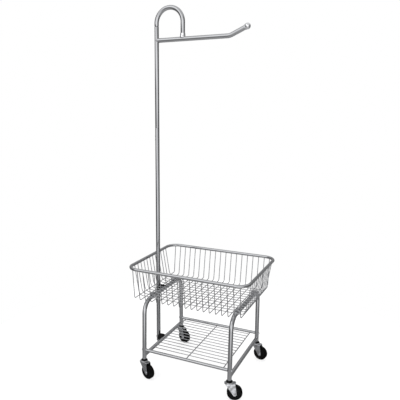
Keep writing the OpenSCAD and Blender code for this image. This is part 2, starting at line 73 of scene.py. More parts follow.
POLE = middle("pole_upper")
TUBE_R = (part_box("pole_upper")[1].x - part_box("pole_upper")[0].x) / 2
ARCH_X = middle("right_arch").x
FOOT_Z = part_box("left_arch")[0].z
FOOT_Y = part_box("left_arch")[1].y - TUBE_R
LEG_LEAN = radians(1.5)
ARCH_BEND = 66 * MM
BEND_SWELL = TUBE_R / 110  # the exact tubes stand this much proud in a bend
BAR_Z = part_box("left_arch")[1].z - TUBE_R - BEND_SWELL
SIDE_RAIL = middle("right_side_rail")
SIDE_RAIL_R = (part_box("right_side_rail")[1].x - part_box("right_side_rail")[0].x) / 2
SHELF_RAIL = middle("back_shelf_rail")
RAIL_R = (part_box("back_shelf_rail")[1].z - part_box("back_shelf_rail")[0].z) / 2


def leg_y(z):
    """Distance of a leg's centre line from the cart's middle at height z."""
    return FOOT_Y - (z - FOOT_Z) * tan(LEG_LEAN)


print("tube radius %.4f, bar height %.4f, legs %.4f out at the foot" % (TUBE_R, BAR_Z, FOOT_Y))

# %% [markdown]
# ## Shader maths that reads like arithmetic
#
# A material is a graph of nodes. Wrapping an output socket in a small class lets `mask * 0.3 + 0.1`
# build its Math nodes by itself; every other node comes from one method that takes its type, its
# settings and its inputs.

# %% A socket that can be added and scaled


class Field:
    """One output of a shader node, usable in arithmetic with numbers and other fields."""

    def __init__(self, tree, socket):
        self.tree = tree
        self.socket = socket

    def math(self, operation, a, b):
        return self.tree.node("ShaderNodeMath", {"operation": operation}, {0: a, 1: b})

    def __add__(self, other):
        return self.math("ADD", self, other)

    def __mul__(self, other):
        return self.math("MULTIPLY", self, other)

    __radd__ = __add__


class Tree:
    """The node tree of one material, with its Principled shader."""

    def __init__(self, name):
        self.material = bpy.data.materials.new(name)
        self.material.use_nodes = True
        self.nodes = self.material.node_tree.nodes
        self.links = self.material.node_tree.links
        self.shader = self.nodes["Principled BSDF"]

    def feed(self, socket, value):
        if isinstance(value, Field):
            self.links.new(value.socket, socket)
        else:
            socket.default_value = value

    def node(self, kind, settings=None, inputs=None, output=0):
        made = self.nodes.new(kind)
        for key, value in (settings or {}).items():
            setattr(made, key, value)
        for key, value in (inputs or {}).items():
            self.feed(made.inputs[key], value)
        return Field(self, made.outputs[output])

    def place(self, stretch=(1, 1, 1)):
        """Where a point lies in the piece's own space, in metres, stretched along each axis."""
        here = self.node("ShaderNodeTexCoord", output="Object")
        return self.node("ShaderNodeVectorMath", {"operation": "MULTIPLY"}, {0: here, 1: stretch})

    def noise(self, scale, detail=2.0, stretch=(1, 1, 1), roughness=0.5):
        return self.node("ShaderNodeTexNoise", {}, {
            "Vector": self.place(stretch), "Scale": scale, "Detail": detail, "Roughness": roughness})

    def step(self, value, low, high):
        """0 below low, 1 above high, smooth between."""
        return self.node("ShaderNodeMapRange", {"interpolation_type": "SMOOTHSTEP"}, {
            "Value": value, "From Min": low, "From Max": high})

    def mix(self, share, a, b):
        return self.node("ShaderNodeMix", {"data_type": "RGBA"}, {
            "Factor": share, "A": (*a, 1) if isinstance(a, tuple) else a,
            "B": (*b, 1) if isinstance(b, tuple) else b}, output=2)

    def bump(self, height, strength, depth):
        return self.node("ShaderNodeBump", {}, {
            "Height": height, "Strength": strength, "Distance": depth})

    def finish(self, **inputs):
        for name, value in inputs.items():
            label = name.replace("_", " ").title().replace("Ior", "IOR")
            self.feed(self.shader.inputs[label], value)
        return self.material


print("shader helpers ready")

# %% [markdown]
# ## The finishes
#
# Bright chrome is a thin, slightly blue-grey metal: clean reflections, softened where it has been
# handled, and a faint waviness left by polishing the tube. Wire is drawn, then plated without
# polishing, so it is a touch duller and carries fine lines. Zinc plate is duller again, with a
# mottled passivate. The lower pole tube is a little duller than the rest. The turned ball and collar
# get a far brighter tint, which is a painted reflection, and the steel in the pole's seam is near
# black, which is painted shade. The black parts are moulded nylon with a fine eroded texture.

# %% Chrome for the tubes and the wire


def chrome(name, tint, gloss, smudge, wave):
    tree = Tree(name)
    handled = tree.step(tree.noise(9.0, 3.0), 0.42, 0.72)
    speckle = tree.step(tree.noise(420.0, 2.0), 0.62, 0.75)
    dull = tuple(c * 0.86 for c in tint)
    colour = tree.mix(handled * 0.55 + speckle * 0.25, tint, dull)
    surface = tree.noise(14.0, 1.0) + tree.noise(900.0, 2.0) * 0.04
    return tree.finish(
        base_color=colour, metallic=1.0,
        roughness=handled * smudge + speckle * 0.08 + gloss,
        normal=tree.bump(surface, wave, 0.0012))


CHROME_TINT = (0.49, 0.495, 0.505)
CHROME = chrome("bright_chrome_tube", CHROME_TINT, 0.06, 0.08, 0.10)
WIRE_CHROME = chrome("plated_wire", (0.44, 0.445, 0.455), 0.17, 0.12, 0.18)
OLD_CHROME = chrome("dulled_chrome_tube", (0.41, 0.415, 0.425), 0.09, 0.10, 0.10)
# Far brighter tint than the tube chrome, for the ball and collar: a painted reflection
CHROME_PAINTED_BRIGHT = chrome("chrome_with_painted_reflection", (0.82, 0.825, 0.835), 0.16, 0.06, 0.06)
print("made", CHROME.name, WIRE_CHROME.name, OLD_CHROME.name, "and", CHROME_PAINTED_BRIGHT.name)

# %% Weld metal under the chrome


def weld_chrome():
    tree = Tree("plated_weld")
    ripple = tree.noise(700.0, 2.0)
    soot = tree.step(tree.noise(60.0, 3.0), 0.4, 0.7)
    return tree.finish(
        base_color=tree.mix(soot, (0.50, 0.505, 0.515), (0.36, 0.355, 0.35)), metallic=1.0,
        roughness=0.26 + soot * 0.14, normal=tree.bump(ripple, 0.5, 0.0004))


WELD = weld_chrome()
print("made", WELD.name)

# %% Zinc plate and turned steel


def plated_steel(name, tint, warm, gloss, grain):
    tree = Tree(name)
    mottle = tree.step(tree.noise(75.0, 4.0, roughness=0.6), 0.42, 0.60)
    bloom = tree.step(tree.noise(17.0, 2.0), 0.45, 0.75)
    scratch = tree.step(tree.noise(260.0, 1.0, stretch=(1, 1, 9)), 0.66, 0.72)
    colour = tree.mix(mottle * 0.75, tint, warm)
    colour = tree.mix(bloom * 0.20, colour, (0.58, 0.60, 0.66))
    return tree.finish(
        base_color=colour, metallic=1.0,
        roughness=mottle * 0.12 + scratch * 0.15 + gloss,
        normal=tree.bump(tree.noise(grain, 2.0) + scratch * 0.3, 0.22, 0.0003))


ZINC = plated_steel("zinc_plated_pressing", (0.70, 0.71, 0.73), (0.26, 0.258, 0.25), 0.22, 600.0)
STEEL = plated_steel("turned_steel", (0.52, 0.53, 0.55), (0.45, 0.44, 0.43), 0.28, 900.0)
HARDWARE = plated_steel("plated_fasteners", (0.62, 0.63, 0.65), (0.52, 0.52, 0.51), 0.20, 800.0)
# Near-black steel for the spigot in the loop's seam: painted shade, so the groove reads as a dark ring
SEAM_SHADE_STEEL = plated_steel("painted_seam_shade", (0.10, 0.10, 0.10), (0.05, 0.05, 0.05), 0.45, 900.0)
print("made", ZINC.name, STEEL.name, HARDWARE.name, SEAM_SHADE_STEEL.name)

# %% Moulded nylon, wheel plastic and rubber


def moulded(name, shade, worn, gloss, grain, dust=0.0, shine=0.5):
    tree = Tree(name)
    cloudy = tree.step(tree.noise(40.0, 3.0), 0.35, 0.7)
    scuff = tree.step(tree.noise(330.0, 3.0, stretch=(1, 1, 3)), 0.60, 0.72)
    share = cloudy * 0.35 + scuff * 0.4
    if dust:
        edge = tree.node("ShaderNodeAttribute", {"attribute_name": "tread"}, output="Fac")
        share = share + edge * (cloudy * 0.5 + 0.35) * dust
    return tree.finish(
        base_color=tree.mix(share, shade, worn), metallic=0.0, specular_ior_level=shine,
        roughness=cloudy * 0.08 + scuff * 0.10 + gloss,
        normal=tree.bump(tree.noise(grain, 2.0) + tree.noise(120.0, 2.0) * 0.3, 0.35, 0.0002))


NYLON = moulded("black_nylon", (0.004, 0.004, 0.004), (0.012, 0.012, 0.012), 0.42, 1500.0, shine=0.10)
CORE = moulded("wheel_core_plastic", (0.004, 0.004, 0.004), (0.012, 0.012, 0.012), 0.40, 1200.0,
               shine=0.10)
RUBBER = moulded("tyre_rubber", (0.002, 0.002, 0.002), (0.007, 0.0067, 0.0064), 0.62, 900.0,
                 dust=0.4, shine=0.03)
print("made", NYLON.name, CORE.name, RUBBER.name)

# %% [markdown]
# ## Four ways to make a mesh
#
# Nearly everything here is a round bar bent in one plane, or something turned on a lathe. So the
# two main tools are `sweep`, which carries a ring along a bent centre line, and `lathe`, which
# turns an outline round an axis. A `Shape` only holds points and faces, so shapes can be joined
# before they become one object.

# %% Shapes and how they become pieces


class Shape:
    """Points and faces that can be joined with others before they become an object."""

    def __init__(self, points=(), faces=()):
        self.points = [Vector(p) for p in points]
        self.faces = [tuple(f) for f in faces]

    def __add__(self, other):
        shift = len(self.points)
        return Shape(self.points + other.points,
                     self.faces + [tuple(i + shift for i in f) for f in other.faces])


def joined(shapes):
    total = Shape()
    for shape in shapes:
        total = total + shape
    return total


SHARP_EDGE = radians(38)


def make_object(name, shape):
    """A mesh object with its faces turned outwards and its crisp edges kept crisp."""
    mesh = bpy.data.meshes.new(name)
    mesh.from_pydata(shape.points, [], shape.faces)
    work = bmesh.new()
    work.from_mesh(mesh)
    bmesh.ops.remove_doubles(work, verts=work.verts, dist=1e-6)
    bmesh.ops.recalc_face_normals(work, faces=work.faces)
    work.to_mesh(mesh)
    work.free()
    mesh.polygons.foreach_set("use_smooth", [True] * len(mesh.polygons))
    mesh.set_sharp_from_angle(angle=SHARP_EDGE)
    made = bpy.data.objects.new(name, mesh)
    bpy.context.scene.collection.objects.link(made)
    return made


def piece(name, shape, body, material, replaces=()):
    """Turn a shape into a finished piece that moves with a body of the cart."""
    made = make_object(name, shape) if isinstance(shape, Shape) else shape
    made.data.materials.clear()
    made.data.materials.append(material)
    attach(made, body)
    if replaces:
        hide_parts(*replaces)
    return made


def chrome_tube(name, shape, node):
    """A tube of the cart in bright chrome, in place of one exact part."""
    return piece(name, shape, "cart", CHROME, [node])


def apply_modifiers(made):
    """Replace an object's mesh by what its modifiers make of it."""
    depsgraph = bpy.context.evaluated_depsgraph_get()
    mesh = bpy.data.meshes.new_from_object(made.evaluated_get(depsgraph))
    made.modifiers.clear()
    made.data = mesh
    return made


def cut(made, cutters, round_edge=0.0):
    """Cut shapes out of an object, and round the edges that this leaves."""
    for shape in cutters:
        tool = make_object("cutter", shape)
        knife = made.modifiers.new("cut", "BOOLEAN")
        knife.operation = "DIFFERENCE"
        knife.solver = "EXACT"
        knife.object = tool
        apply_modifiers(made)
        bpy.data.objects.remove(tool)
    if round_edge:
        soften = made.modifiers.new("round", "BEVEL")
        soften.width = round_edge
        soften.segments = 2
        soften.limit_method = "ANGLE"
        soften.angle_limit = radians(40)
        apply_modifiers(made)
    made.data.polygons.foreach_set("use_smooth", [True] * len(made.data.polygons))
    made.data.set_sharp_from_angle(angle=SHARP_EDGE)
    return made


print("shape helpers ready")

# %% Sweep a ring along a bent centre line


def bent_line(points, radius, step=radians(6), closed=False):
    """Centre line through the points with an arc of the given radius at each corner."""
    points = [Vector(p) for p in points]
    line = []
    count = len(points)
    for i, corner in enumerate(points):
        if not closed and i in (0, count - 1):
            line.append(corner)
            continue
        inward = (corner - points[i - 1]).normalized()
        outward = (points[(i + 1) % count] - corner).normalized()
        turn = inward.angle(outward)
        if turn < 1e-4:
            line.append(corner)
            continue
        centre = corner + (outward - inward).normalized() * (radius / cos(turn / 2))
        arm = (corner - inward * (radius * tan(turn / 2))) - centre
        axis = inward.cross(outward).normalized()
        steps = max(3, round(turn / step))
        for k in range(steps + 1):
            line.append(centre + Matrix.Rotation(turn * k / steps, 3, axis) @ arm)
    return line


def sweep(line, radius, sides=40, closed=False, round_end=0.0):
    """Round bar along a line; its ends are flat with an edge rounded by round_end."""
    count = len(line)
    stops = [(p, 1.0) for p in line]
    if not closed and round_end:
        first = (line[1] - line[0]).normalized() * round_end
        last = (line[-2] - line[-1]).normalized() * round_end
        share = 1 - round_end / radius
        stops = ([(line[0], share), (line[0] + first * 0.3, 1 - 0.3 * (1 - share)),
                  (line[0] + first, 1.0)] + stops[1:-1]
                 + [(line[-1] + last, 1.0), (line[-1] + last * 0.3, 1 - 0.3 * (1 - share)),
                    (line[-1], share)])
        count = len(stops)
    places = [p for p, _ in stops]
    ahead = [(places[(i + 1) % count] - places[i - 1]).normalized() if closed or 0 < i < count - 1
             else (places[1] - places[0] if i == 0 else places[-1] - places[-2]).normalized()
             for i in range(count)]
    side = ahead[0].orthogonal().normalized()
    rings = []
    for i in range(count):
        side = (side - ahead[i] * side.dot(ahead[i])).normalized()
        up = ahead[i].cross(side)
        rings.append([places[i] + (side * cos(2 * pi * k / sides) + up * sin(2 * pi * k / sides))
                      * radius * stops[i][1] for k in range(sides)])
    faces = []
    for i in range(count if closed else count - 1):
        j = (i + 1) % count
        shift = 0
        if closed and j == 0:
            shift = min(range(sides), key=lambda s: (rings[0][s] - rings[i][0]).length)
        for k in range(sides):
            m = (k + 1) % sides
            faces.append((i * sides + k, i * sides + m,
                          j * sides + (m + shift) % sides, j * sides + (k + shift) % sides))
    if not closed:
        faces.append(tuple(range(sides))[::-1])
        faces.append(tuple((count - 1) * sides + k for k in range(sides)))
    return Shape([p for ring in rings for p in ring], faces)


print("a straight test bar has", len(sweep([Vector((0, 0, 0)), Vector((0, 0, 1))], 0.01).faces), "faces")

# %% Turn an outline on a lathe


def rounded(outline, radius, steps=4, closed=False):
    """An outline of (distance from the axis, height) points with its corners rounded."""
    points = [Vector((p[0], p[1], 0)) for p in outline]
    count = len(points)
    result = []
    for i, corner in enumerate(points):
        before, after = points[i - 1], points[(i + 1) % count]
        if not closed and i in (0, count - 1):
            result.append(corner)
            continue
        u, v = before - corner, after - corner
        turn = pi - u.angle(v)
        reach = min(radius * tan(turn / 2), u.length * 0.45, v.length * 0.45)
        if turn < 0.05 or reach < 1e-7:
            result.append(corner)
            continue
        a, b = corner + u.normalized() * reach, corner + v.normalized() * reach
        for k in range(steps + 1):
            t = k / steps
            result.append(a * (1 - t) ** 2 + corner * 2 * t * (1 - t) + b * t ** 2)
    return [(p.x, p.y) for p in result]


def lathe(outline, origin, axis, sides=48, closed=True):
    """Solid of revolution; a closed outline that stays off the axis gives a ring."""
    axis = Vector(axis).normalized()
    side = axis.orthogonal().normalized()
    up = axis.cross(side)
    points, rows = [], []
    for r, h in outline:
        row = []
        for k in range(1 if r < 1e-7 else sides):
            angle = 2 * pi * k / sides
            row.append(len(points))
            points.append(Vector(origin) + axis * h + (side * cos(angle) + up * sin(angle)) * r)
        rows.append(row)
    faces = []
    pairs = len(rows) if closed else len(rows) - 1
    for i in range(pairs):
        a, b = rows[i], rows[(i + 1) % len(rows)]
        if len(a) == 1 and len(b) == 1:
            continue
        for k in range(sides):
            m = (k + 1) % sides
            quad = (a[k % len(a)], a[m % len(a)], b[m % len(b)], b[k % len(b)])
            faces.append(tuple(dict.fromkeys(quad)))
    return Shape(points, faces)


def prism(outline, origin, x_axis, y_axis, depth):
    """An outline in the plane of two axes, extruded along their cross product."""
    x_axis, y_axis = Vector(x_axis).normalized(), Vector(y_axis).normalized()
    along = x_axis.cross(y_axis) * depth
    base = [Vector(origin) + x_axis * p[0] + y_axis * p[1] for p in outline]
    count = len(base)
    faces = [(k, (k + 1) % count, (k + 1) % count + count, k + count) for k in range(count)]
    return Shape(base + [p + along for p in base],
                 faces + [tuple(range(count))[::-1], tuple(range(count, 2 * count))])


def rectangle(width, height):
    """Outline of a rectangle about the origin."""
    w, h = width / 2, height / 2
    return [(-w, -h), (w, -h), (w, h), (-w, h)]


print("lathe ready")

# %% [markdown]
# ## Weld beads
#
# Where one tube is notched against another, a welder runs a bead round the saddle-shaped seam.
# The seam is a curve on the larger tube at the smaller tube's radius, so the bead is a thin bar
# swept along that curve, with a little unevenness as from a hand-held torch.

# %% Bead round a notched joint


def saddle_bead(centre, along, other, small_r, large_r, bead_r):
    """Bead where a tube of radius small_r, running along, meets the side of one of large_r."""
    along, other = Vector(along).normalized(), Vector(other).normalized()
    across = along.cross(other).normalized()
    line = []
    steps = 56
    for k in range(steps):
        angle = 2 * pi * k / steps
        off = min(abs(small_r * cos(angle)), large_r * 0.995)
        out = sqrt(large_r ** 2 - off ** 2)
        wobble = 1 + 0.03 * sin(11 * angle)
        line.append(Vector(centre) + across * small_r * cos(angle) * wobble
                    + other * small_r * sin(angle) * wobble + along * out)
    return sweep(line, bead_r, sides=10, closed=True)


BEAD_R = 1.5 * MM
beads = []
print("bead helper ready")

# %% [markdown]
# ## The two arches
#
# Each arch is one tube bent into an upside-down U: two legs that lean in slightly and a level bar
# that the basket sits on. A bend in thin tube is never perfectly round, but at this radius the
# flattening is too small to see, so a plain sweep is true to it.

# %% Arches
arches = {}
for side, name in ((-1, "left_arch"), (1, "right_arch")):
    top_y = leg_y(BAR_Z)
    line = bent_line([(side * ARCH_X, -leg_y(FOOT_Z), FOOT_Z), (side * ARCH_X, -top_y, BAR_Z),
                      (side * ARCH_X, top_y, BAR_Z), (side * ARCH_X, leg_y(FOOT_Z), FOOT_Z)],
                     ARCH_BEND, step=radians(4.5))
    arches[name] = chrome_tube(name + "_tube", sweep(line, TUBE_R, round_end=0.4 * MM), name)
print("arches:", list(arches))

# %% [markdown]
# ## Side rails and shelf rails
#
# The rails are notched and welded between the legs low down, front to back. The shelf's own rails
# run left to right, and a domed bolt through each leg holds their ends, so they have no weld.

# %% Rails
for side, name in ((-1, "left_side_rail"), (1, "right_side_rail")):
    reach = leg_y(SIDE_RAIL.z)
    line = [Vector((side * ARCH_X, -reach, SIDE_RAIL.z)), Vector((side * ARCH_X, reach, SIDE_RAIL.z))]
    chrome_tube(name + "_tube", sweep(line, SIDE_RAIL_R), name)
    for end in (-1, 1):
        beads.append(saddle_bead((side * ARCH_X, end * reach, SIDE_RAIL.z), (0, -end, 0), (0, 0, 1),
                                 SIDE_RAIL_R, TUBE_R, BEAD_R))

SHELF_Y = SHELF_RAIL.y
SHELF_Z = SHELF_RAIL.z
for side, name in ((-1, "front_shelf_rail"), (1, "back_shelf_rail")):
    reach = ARCH_X - TUBE_R * 0.9
    line = [Vector((-reach, side * SHELF_Y, SHELF_Z)), Vector((reach, side * SHELF_Y, SHELF_Z))]
    chrome_tube(name + "_tube", sweep(line, RAIL_R), name)
print("shelf rails at y = +-%.4f, z = %.4f" % (SHELF_Y, SHELF_Z))

# %% [markdown]
# ## The basket rim
#
# The rim is one tube bent round four corners and closed by a weld over an inner sleeve at the
# back. The seam is ground flush before plating, so only a faint ring is left.

# %% Rim
rim_low, rim_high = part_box("basket_rim")
RIM_Z = (rim_low.z + rim_high.z) / 2
RIM_R = RAIL_R
RIM_SWELL = RIM_R / 110
RIM_X = rim_high.x - RIM_R - RIM_SWELL
RIM_Y = rim_high.y - RIM_R - RIM_SWELL
RIM_CORNER = 60 * MM
SEAM_X = middle("rim_joiner").x
rim_line = bent_line([(SEAM_X, RIM_Y, RIM_Z), (-RIM_X, RIM_Y, RIM_Z), (-RIM_X, -RIM_Y, RIM_Z),
                      (RIM_X, -RIM_Y, RIM_Z), (RIM_X, RIM_Y, RIM_Z)],
                     RIM_CORNER, step=radians(4.5), closed=True)
chrome_tube("basket_rim_tube", sweep(rim_line, RIM_R, closed=True), "basket_rim")
RING_PROUD = 0.05 * MM
ring_foot, ring_top = 1.2 * MM, 0.5 * MM
beads.append(lathe([(RIM_R - 0.5 * MM, -ring_foot), (RIM_R + RING_PROUD, -ring_top),
                    (RIM_R + RING_PROUD, ring_top), (RIM_R - 0.5 * MM, ring_foot)],
                   (SEAM_X, RIM_Y, RIM_Z), (1, 0, 0)))
print("rim %.3f by %.3f m at %.3f m" % (2 * rim_high.x, 2 * rim_high.y, RIM_Z))

# %% [markdown]
# ## The basket wires
#
# Wires bent to a U run both ways and are spot-welded where they cross. The long ones rest on the
# bars of the arches; the others hang just below them. At each crossing the two wires are pressed
# a little into each other, which is why the lower layer sits less than a wire's width down. Each
# wire ends against the underside of the rim in a small round weld.

# %% Wire layout
WIRE_R = (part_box("shelf_long_wires")[1].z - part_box("shelf_long_wires")[0].z) / 2
PITCH = 32 * MM
LONG_Z = BAR_Z + TUBE_R + WIRE_R
PRESSED = 0.35 * MM
CROSS_Z = LONG_Z - 2 * WIRE_R + PRESSED
WALL_OUT_X = 28.8 * MM
WALL_OUT_Y = 25.4 * MM
LONG_BEND = 27 * MM
CROSS_BEND = 12 * MM
end_weld_points = []


def u_wire(across, along, floor_half, rim_half, floor_z, bend):
    """A U of wire in the plane of along and up, at a place given by across."""
    across, along, up = Vector(across), Vector(along), Vector((0, 0, 1))
    tip = RIM_Z - RIM_R * 0.6
    share = (tip - floor_z) / (RIM_Z - floor_z)
    top_half = floor_half + (rim_half - floor_half) * share
    corners = [(-top_half, tip), (-floor_half, floor_z), (floor_half, floor_z), (top_half, tip)]
    for s in (-1, 1):
        contact = (RIM_Z - RIM_R - floor_z) / (RIM_Z - floor_z)
        half = floor_half + (rim_half - floor_half) * contact
        end_weld_points.append(across + along * s * half + up * (RIM_Z - RIM_R * 0.97))
    line = bent_line([across + along * y + up * z for y, z in corners], bend, step=radians(9))
    return sweep(line, WIRE_R, sides=18)


print("long wires at z = %.4f, cross wires at z = %.4f" % (LONG_Z, CROSS_Z))

# %% Long wires and cross wires
floor_x = RIM_X - WALL_OUT_X
floor_y = RIM_Y - WALL_OUT_Y
LONG_COUNT = 12
CROSS_COUNT = 17
long_wires = [u_wire((0, (i - (LONG_COUNT - 1) / 2) * PITCH, 0), (1, 0, 0), floor_x, RIM_X, LONG_Z,
                     LONG_BEND) for i in range(LONG_COUNT)]
cross_wires = [u_wire(((i - (CROSS_COUNT - 1) / 2) * PITCH, 0, 0), (0, 1, 0), floor_y, RIM_Y, CROSS_Z,
                      CROSS_BEND) for i in range(CROSS_COUNT)]

# The last wire at each end lies in the bend of the long wires, half-way round it
slope = atan2(WALL_OUT_X, RIM_Z - LONG_Z)
half_turn = (pi / 2 - slope) / 2
end_x = floor_x - LONG_BEND * tan(half_turn) + (LONG_BEND + 2 * WIRE_R - PRESSED) * sin(half_turn)
end_z = LONG_Z + LONG_BEND - (LONG_BEND + 2 * WIRE_R - PRESSED) * cos(half_turn)
end_rim_y = RIM_Y - RIM_CORNER + sqrt(RIM_CORNER ** 2 - (end_x - RIM_X + RIM_CORNER) ** 2)
END_WALL_OUT = 17 * MM
for side in (-1, 1):
    cross_wires.append(u_wire((side * end_x, 0, 0), (0, 1, 0), end_rim_y - END_WALL_OUT, end_rim_y,
                              end_z, CROSS_BEND))
piece("basket_long_wire_set", joined(long_wires), "cart", WIRE_CHROME,
      ["basket_long_wires"])
piece("basket_cross_wire_set", joined(cross_wires), "cart", WIRE_CHROME,
      ["basket_cross_wires"])
print(len(long_wires), "long and", len(cross_wires), "cross wires; end wires at x = +-%.4f" % end_x)

# %% [markdown]
# ## Wire welds
#
# A small bead joins each wire end to the rim: a squashed ball is all that shows.

# %% Beads under the rim


def weld_button(centre, radius, height, axis=(0, 0, 1)):
    profile = [(radius * cos(a), height * sin(a)) for a in
               [radians(-90 + 180 * k / 6) for k in range(7)]]
    profile[0], profile[-1] = (0, -height), (0, height)
    return lathe(profile, centre, axis, sides=14, closed=False)


buttons = [weld_button(p, WIRE_R * 1.45, WIRE_R * 1.1) for p in end_weld_points]
piece("rim_wire_welds", joined(buttons), "cart", WELD)
print(len(buttons), "wire ends welded to the rim")

# %% [markdown]
# ## The lower shelf
#
# Three stiffer wires bridge the two shelf rails and carry thirteen long wires spot-welded on top.
# Both sets are straight, with the ends of the long ones cropped square.

# %% Shelf wires
cross_low, cross_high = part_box("shelf_cross_wires")
SHELF_CROSS_R = (cross_high.z - cross_low.z) / 2
shelf_cross_x = cross_high.x - SHELF_CROSS_R
reach = SHELF_Y - RAIL_R * 0.7
bridges = [sweep([Vector((x, -reach, SHELF_Z)), Vector((x, reach, SHELF_Z))], SHELF_CROSS_R, sides=20)
           for x in (-shelf_cross_x, 0, shelf_cross_x)]
piece("shelf_cross_wire_set", joined(bridges), "cart", WIRE_CHROME,
      ["shelf_cross_wires"])

long_low, long_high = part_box("shelf_long_wires")
SHELF_COUNT = 13
shelf_pitch = (long_high.y - long_low.y - 2 * WIRE_R) / (SHELF_COUNT - 1)
shelf_wire_z = (long_low.z + long_high.z) / 2 - PRESSED
strands = []
for i in range(SHELF_COUNT):
    y = long_low.y + WIRE_R + i * shelf_pitch
    strands.append(sweep([Vector((long_low.x, y, shelf_wire_z)), Vector((long_high.x, y, shelf_wire_z))],
                         WIRE_R, sides=18, round_end=0.5 * MM))
piece("shelf_long_wire_set", joined(strands), "cart", WIRE_CHROME,
      ["shelf_long_wires"])
for x in (-shelf_cross_x, 0, shelf_cross_x):
    for side in (-1, 1):
        beads.append(weld_button((x, side * (SHELF_Y - RAIL_R * 0.97), SHELF_Z),
                                 SHELF_CROSS_R * 1.5, SHELF_CROSS_R, (0, 1, 0)))
print("shelf wires every %.1f mm" % (shelf_pitch / MM))

# %% [markdown]
# ## Bolts through the legs
#
# A bolt with a tall domed head passes through each leg into a plug in the rail's end. Turned on
# the lathe, the head gets a small flange and a rounded crown.

# %% Domed bolts
BOLT_HEAD_R = 6.5 * MM
BOLT_HEAD_H = 4.5 * MM


def domed_head(origin, axis, radius, height, flange=0.25):
    """Domed head on a thin flange; the origin is under the head, on the axis."""
    rim = height * flange
    crown = [(radius * 0.86 * cos(a), rim + (height - rim) * sin(a))
             for a in [radians(90 * k / 8) for k in range(8)]]
    outline = [(0, -height * 0.5), (radius, -height * 0.5), (radius, rim * 0.8),
               (radius * 0.96, rim)] + crown + [(0, height)]
    return lathe(outline, origin, axis, sides=36, closed=False)


heads = []
for x_side in (-1, 1):
    for y_side in (-1, 1):
        seat = Vector((x_side * (ARCH_X + TUBE_R - 0.6 * MM), y_side * SHELF_Y, SHELF_Z))
        heads.append(domed_head(seat, (x_side, 0, 0), BOLT_HEAD_R, BOLT_HEAD_H))
piece("shelf_bolt_heads", joined(heads), "cart", HARDWARE, ["shelf_bolts"])
print(len(heads), "domed bolts")

# %% [markdown]
# ## Clips between the bars and the basket
#
# Two saddle clips grip each bar between two long wires and hook a bridge over them. A clip is a
# folded strap with soft edges, so it is built from a turned ring, a neck and a bridge. The ring
# starts just under the bar's surface, which hides its inner face without any cutting.

# %% Saddle clips
CLIP_W = 14 * MM
CLIP_T = 2 * MM
CLIP_Y = 4 * PITCH


def soft_block(centre, size, radius):
    """Box with its upright edges rounded, extruded along Y."""
    outline = rounded(rectangle(size[0], size[2]), radius, steps=3, closed=True)
    start = Vector(centre) - Vector((0, size[1] / 2, 0))
    return prism(outline, start + Vector((0, size[1], 0)), (1, 0, 0), (0, 0, 1), size[1])


def clip(x, y):
    ring_outline = rounded([(TUBE_R * 0.8, 0), (TUBE_R + CLIP_T, 0), (TUBE_R + CLIP_T, CLIP_W),
                            (TUBE_R * 0.8, CLIP_W)], 0.9 * MM, closed=True)
    ring = lathe(ring_outline, (x, y - CLIP_W / 2, BAR_Z), (0, 1, 0), sides=56)
    bridge_z = LONG_Z + WIRE_R
    neck = soft_block((x, y, (BAR_Z + TUBE_R * 0.8 + bridge_z + CLIP_T) / 2),
                      (8 * MM, CLIP_W - 1 * MM, bridge_z + CLIP_T - BAR_Z - TUBE_R * 0.8), 0.8 * MM)
    bridge = soft_block((x, y, bridge_z + CLIP_T / 2), (12 * MM, PITCH + 4 * WIRE_R, CLIP_T), 0.9 * MM)
    return ring + neck + bridge


clips = joined([clip(side * ARCH_X, y) for side in (-1, 1) for y in (-CLIP_Y, CLIP_Y)])
piece("basket_saddle_clips", clips, "cart", HARDWARE, ["basket_clips"])
print("4 clips at y = +-%.3f" % CLIP_Y)

# %% [markdown]
# ## The pole
#
# Two straight lengths meet on an inner sleeve, held by two pan-head screws, and the looped top
# plugs into the upper one. The eye catches the joints as fine dark rings, so each tube end keeps
# its small rounded edge.

# %% Pole tubes
POLE_X = POLE.x
JOINT_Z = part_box("pole_lower")[1].z
UPPER_SEAM_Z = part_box("pole_upper")[1].z
POLE_FOOT_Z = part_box("pole_lower")[0].z


def pole_length(low, high):
    return sweep([Vector((POLE_X, 0, low)), Vector((POLE_X, 0, high))], TUBE_R, sides=48,
                 round_end=0.8 * MM)


piece("pole_lower_tube", pole_length(POLE_FOOT_Z, JOINT_Z), "cart", OLD_CHROME,
      ["pole_lower"])
chrome_tube("pole_upper_tube", pole_length(JOINT_Z, UPPER_SEAM_Z), "pole_upper")
cap_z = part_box("pole_cap")[0].z
piece("pole_end_cap", lathe(rounded([(0, cap_z), (TUBE_R, cap_z), (TUBE_R, POLE_FOOT_Z),
                                     (TUBE_R * 0.85, POLE_FOOT_Z), (TUBE_R * 0.85, POLE_FOOT_Z + 0.01),
                                     (0, POLE_FOOT_Z + 0.01)], 0.8 * MM),
                            (POLE_X, 0, 0), (0, 0, 1), closed=False),
      "cart", NYLON, ["pole_cap"])
print("pole joints at z = %.3f and %.3f" % (JOINT_Z, UPPER_SEAM_Z))

# %% [markdown]
# ## Pan-head screws
#
# The two screws in the joint have a low round head with a cross recess. The head is turned, then
# two crossed bars are cut out of it.

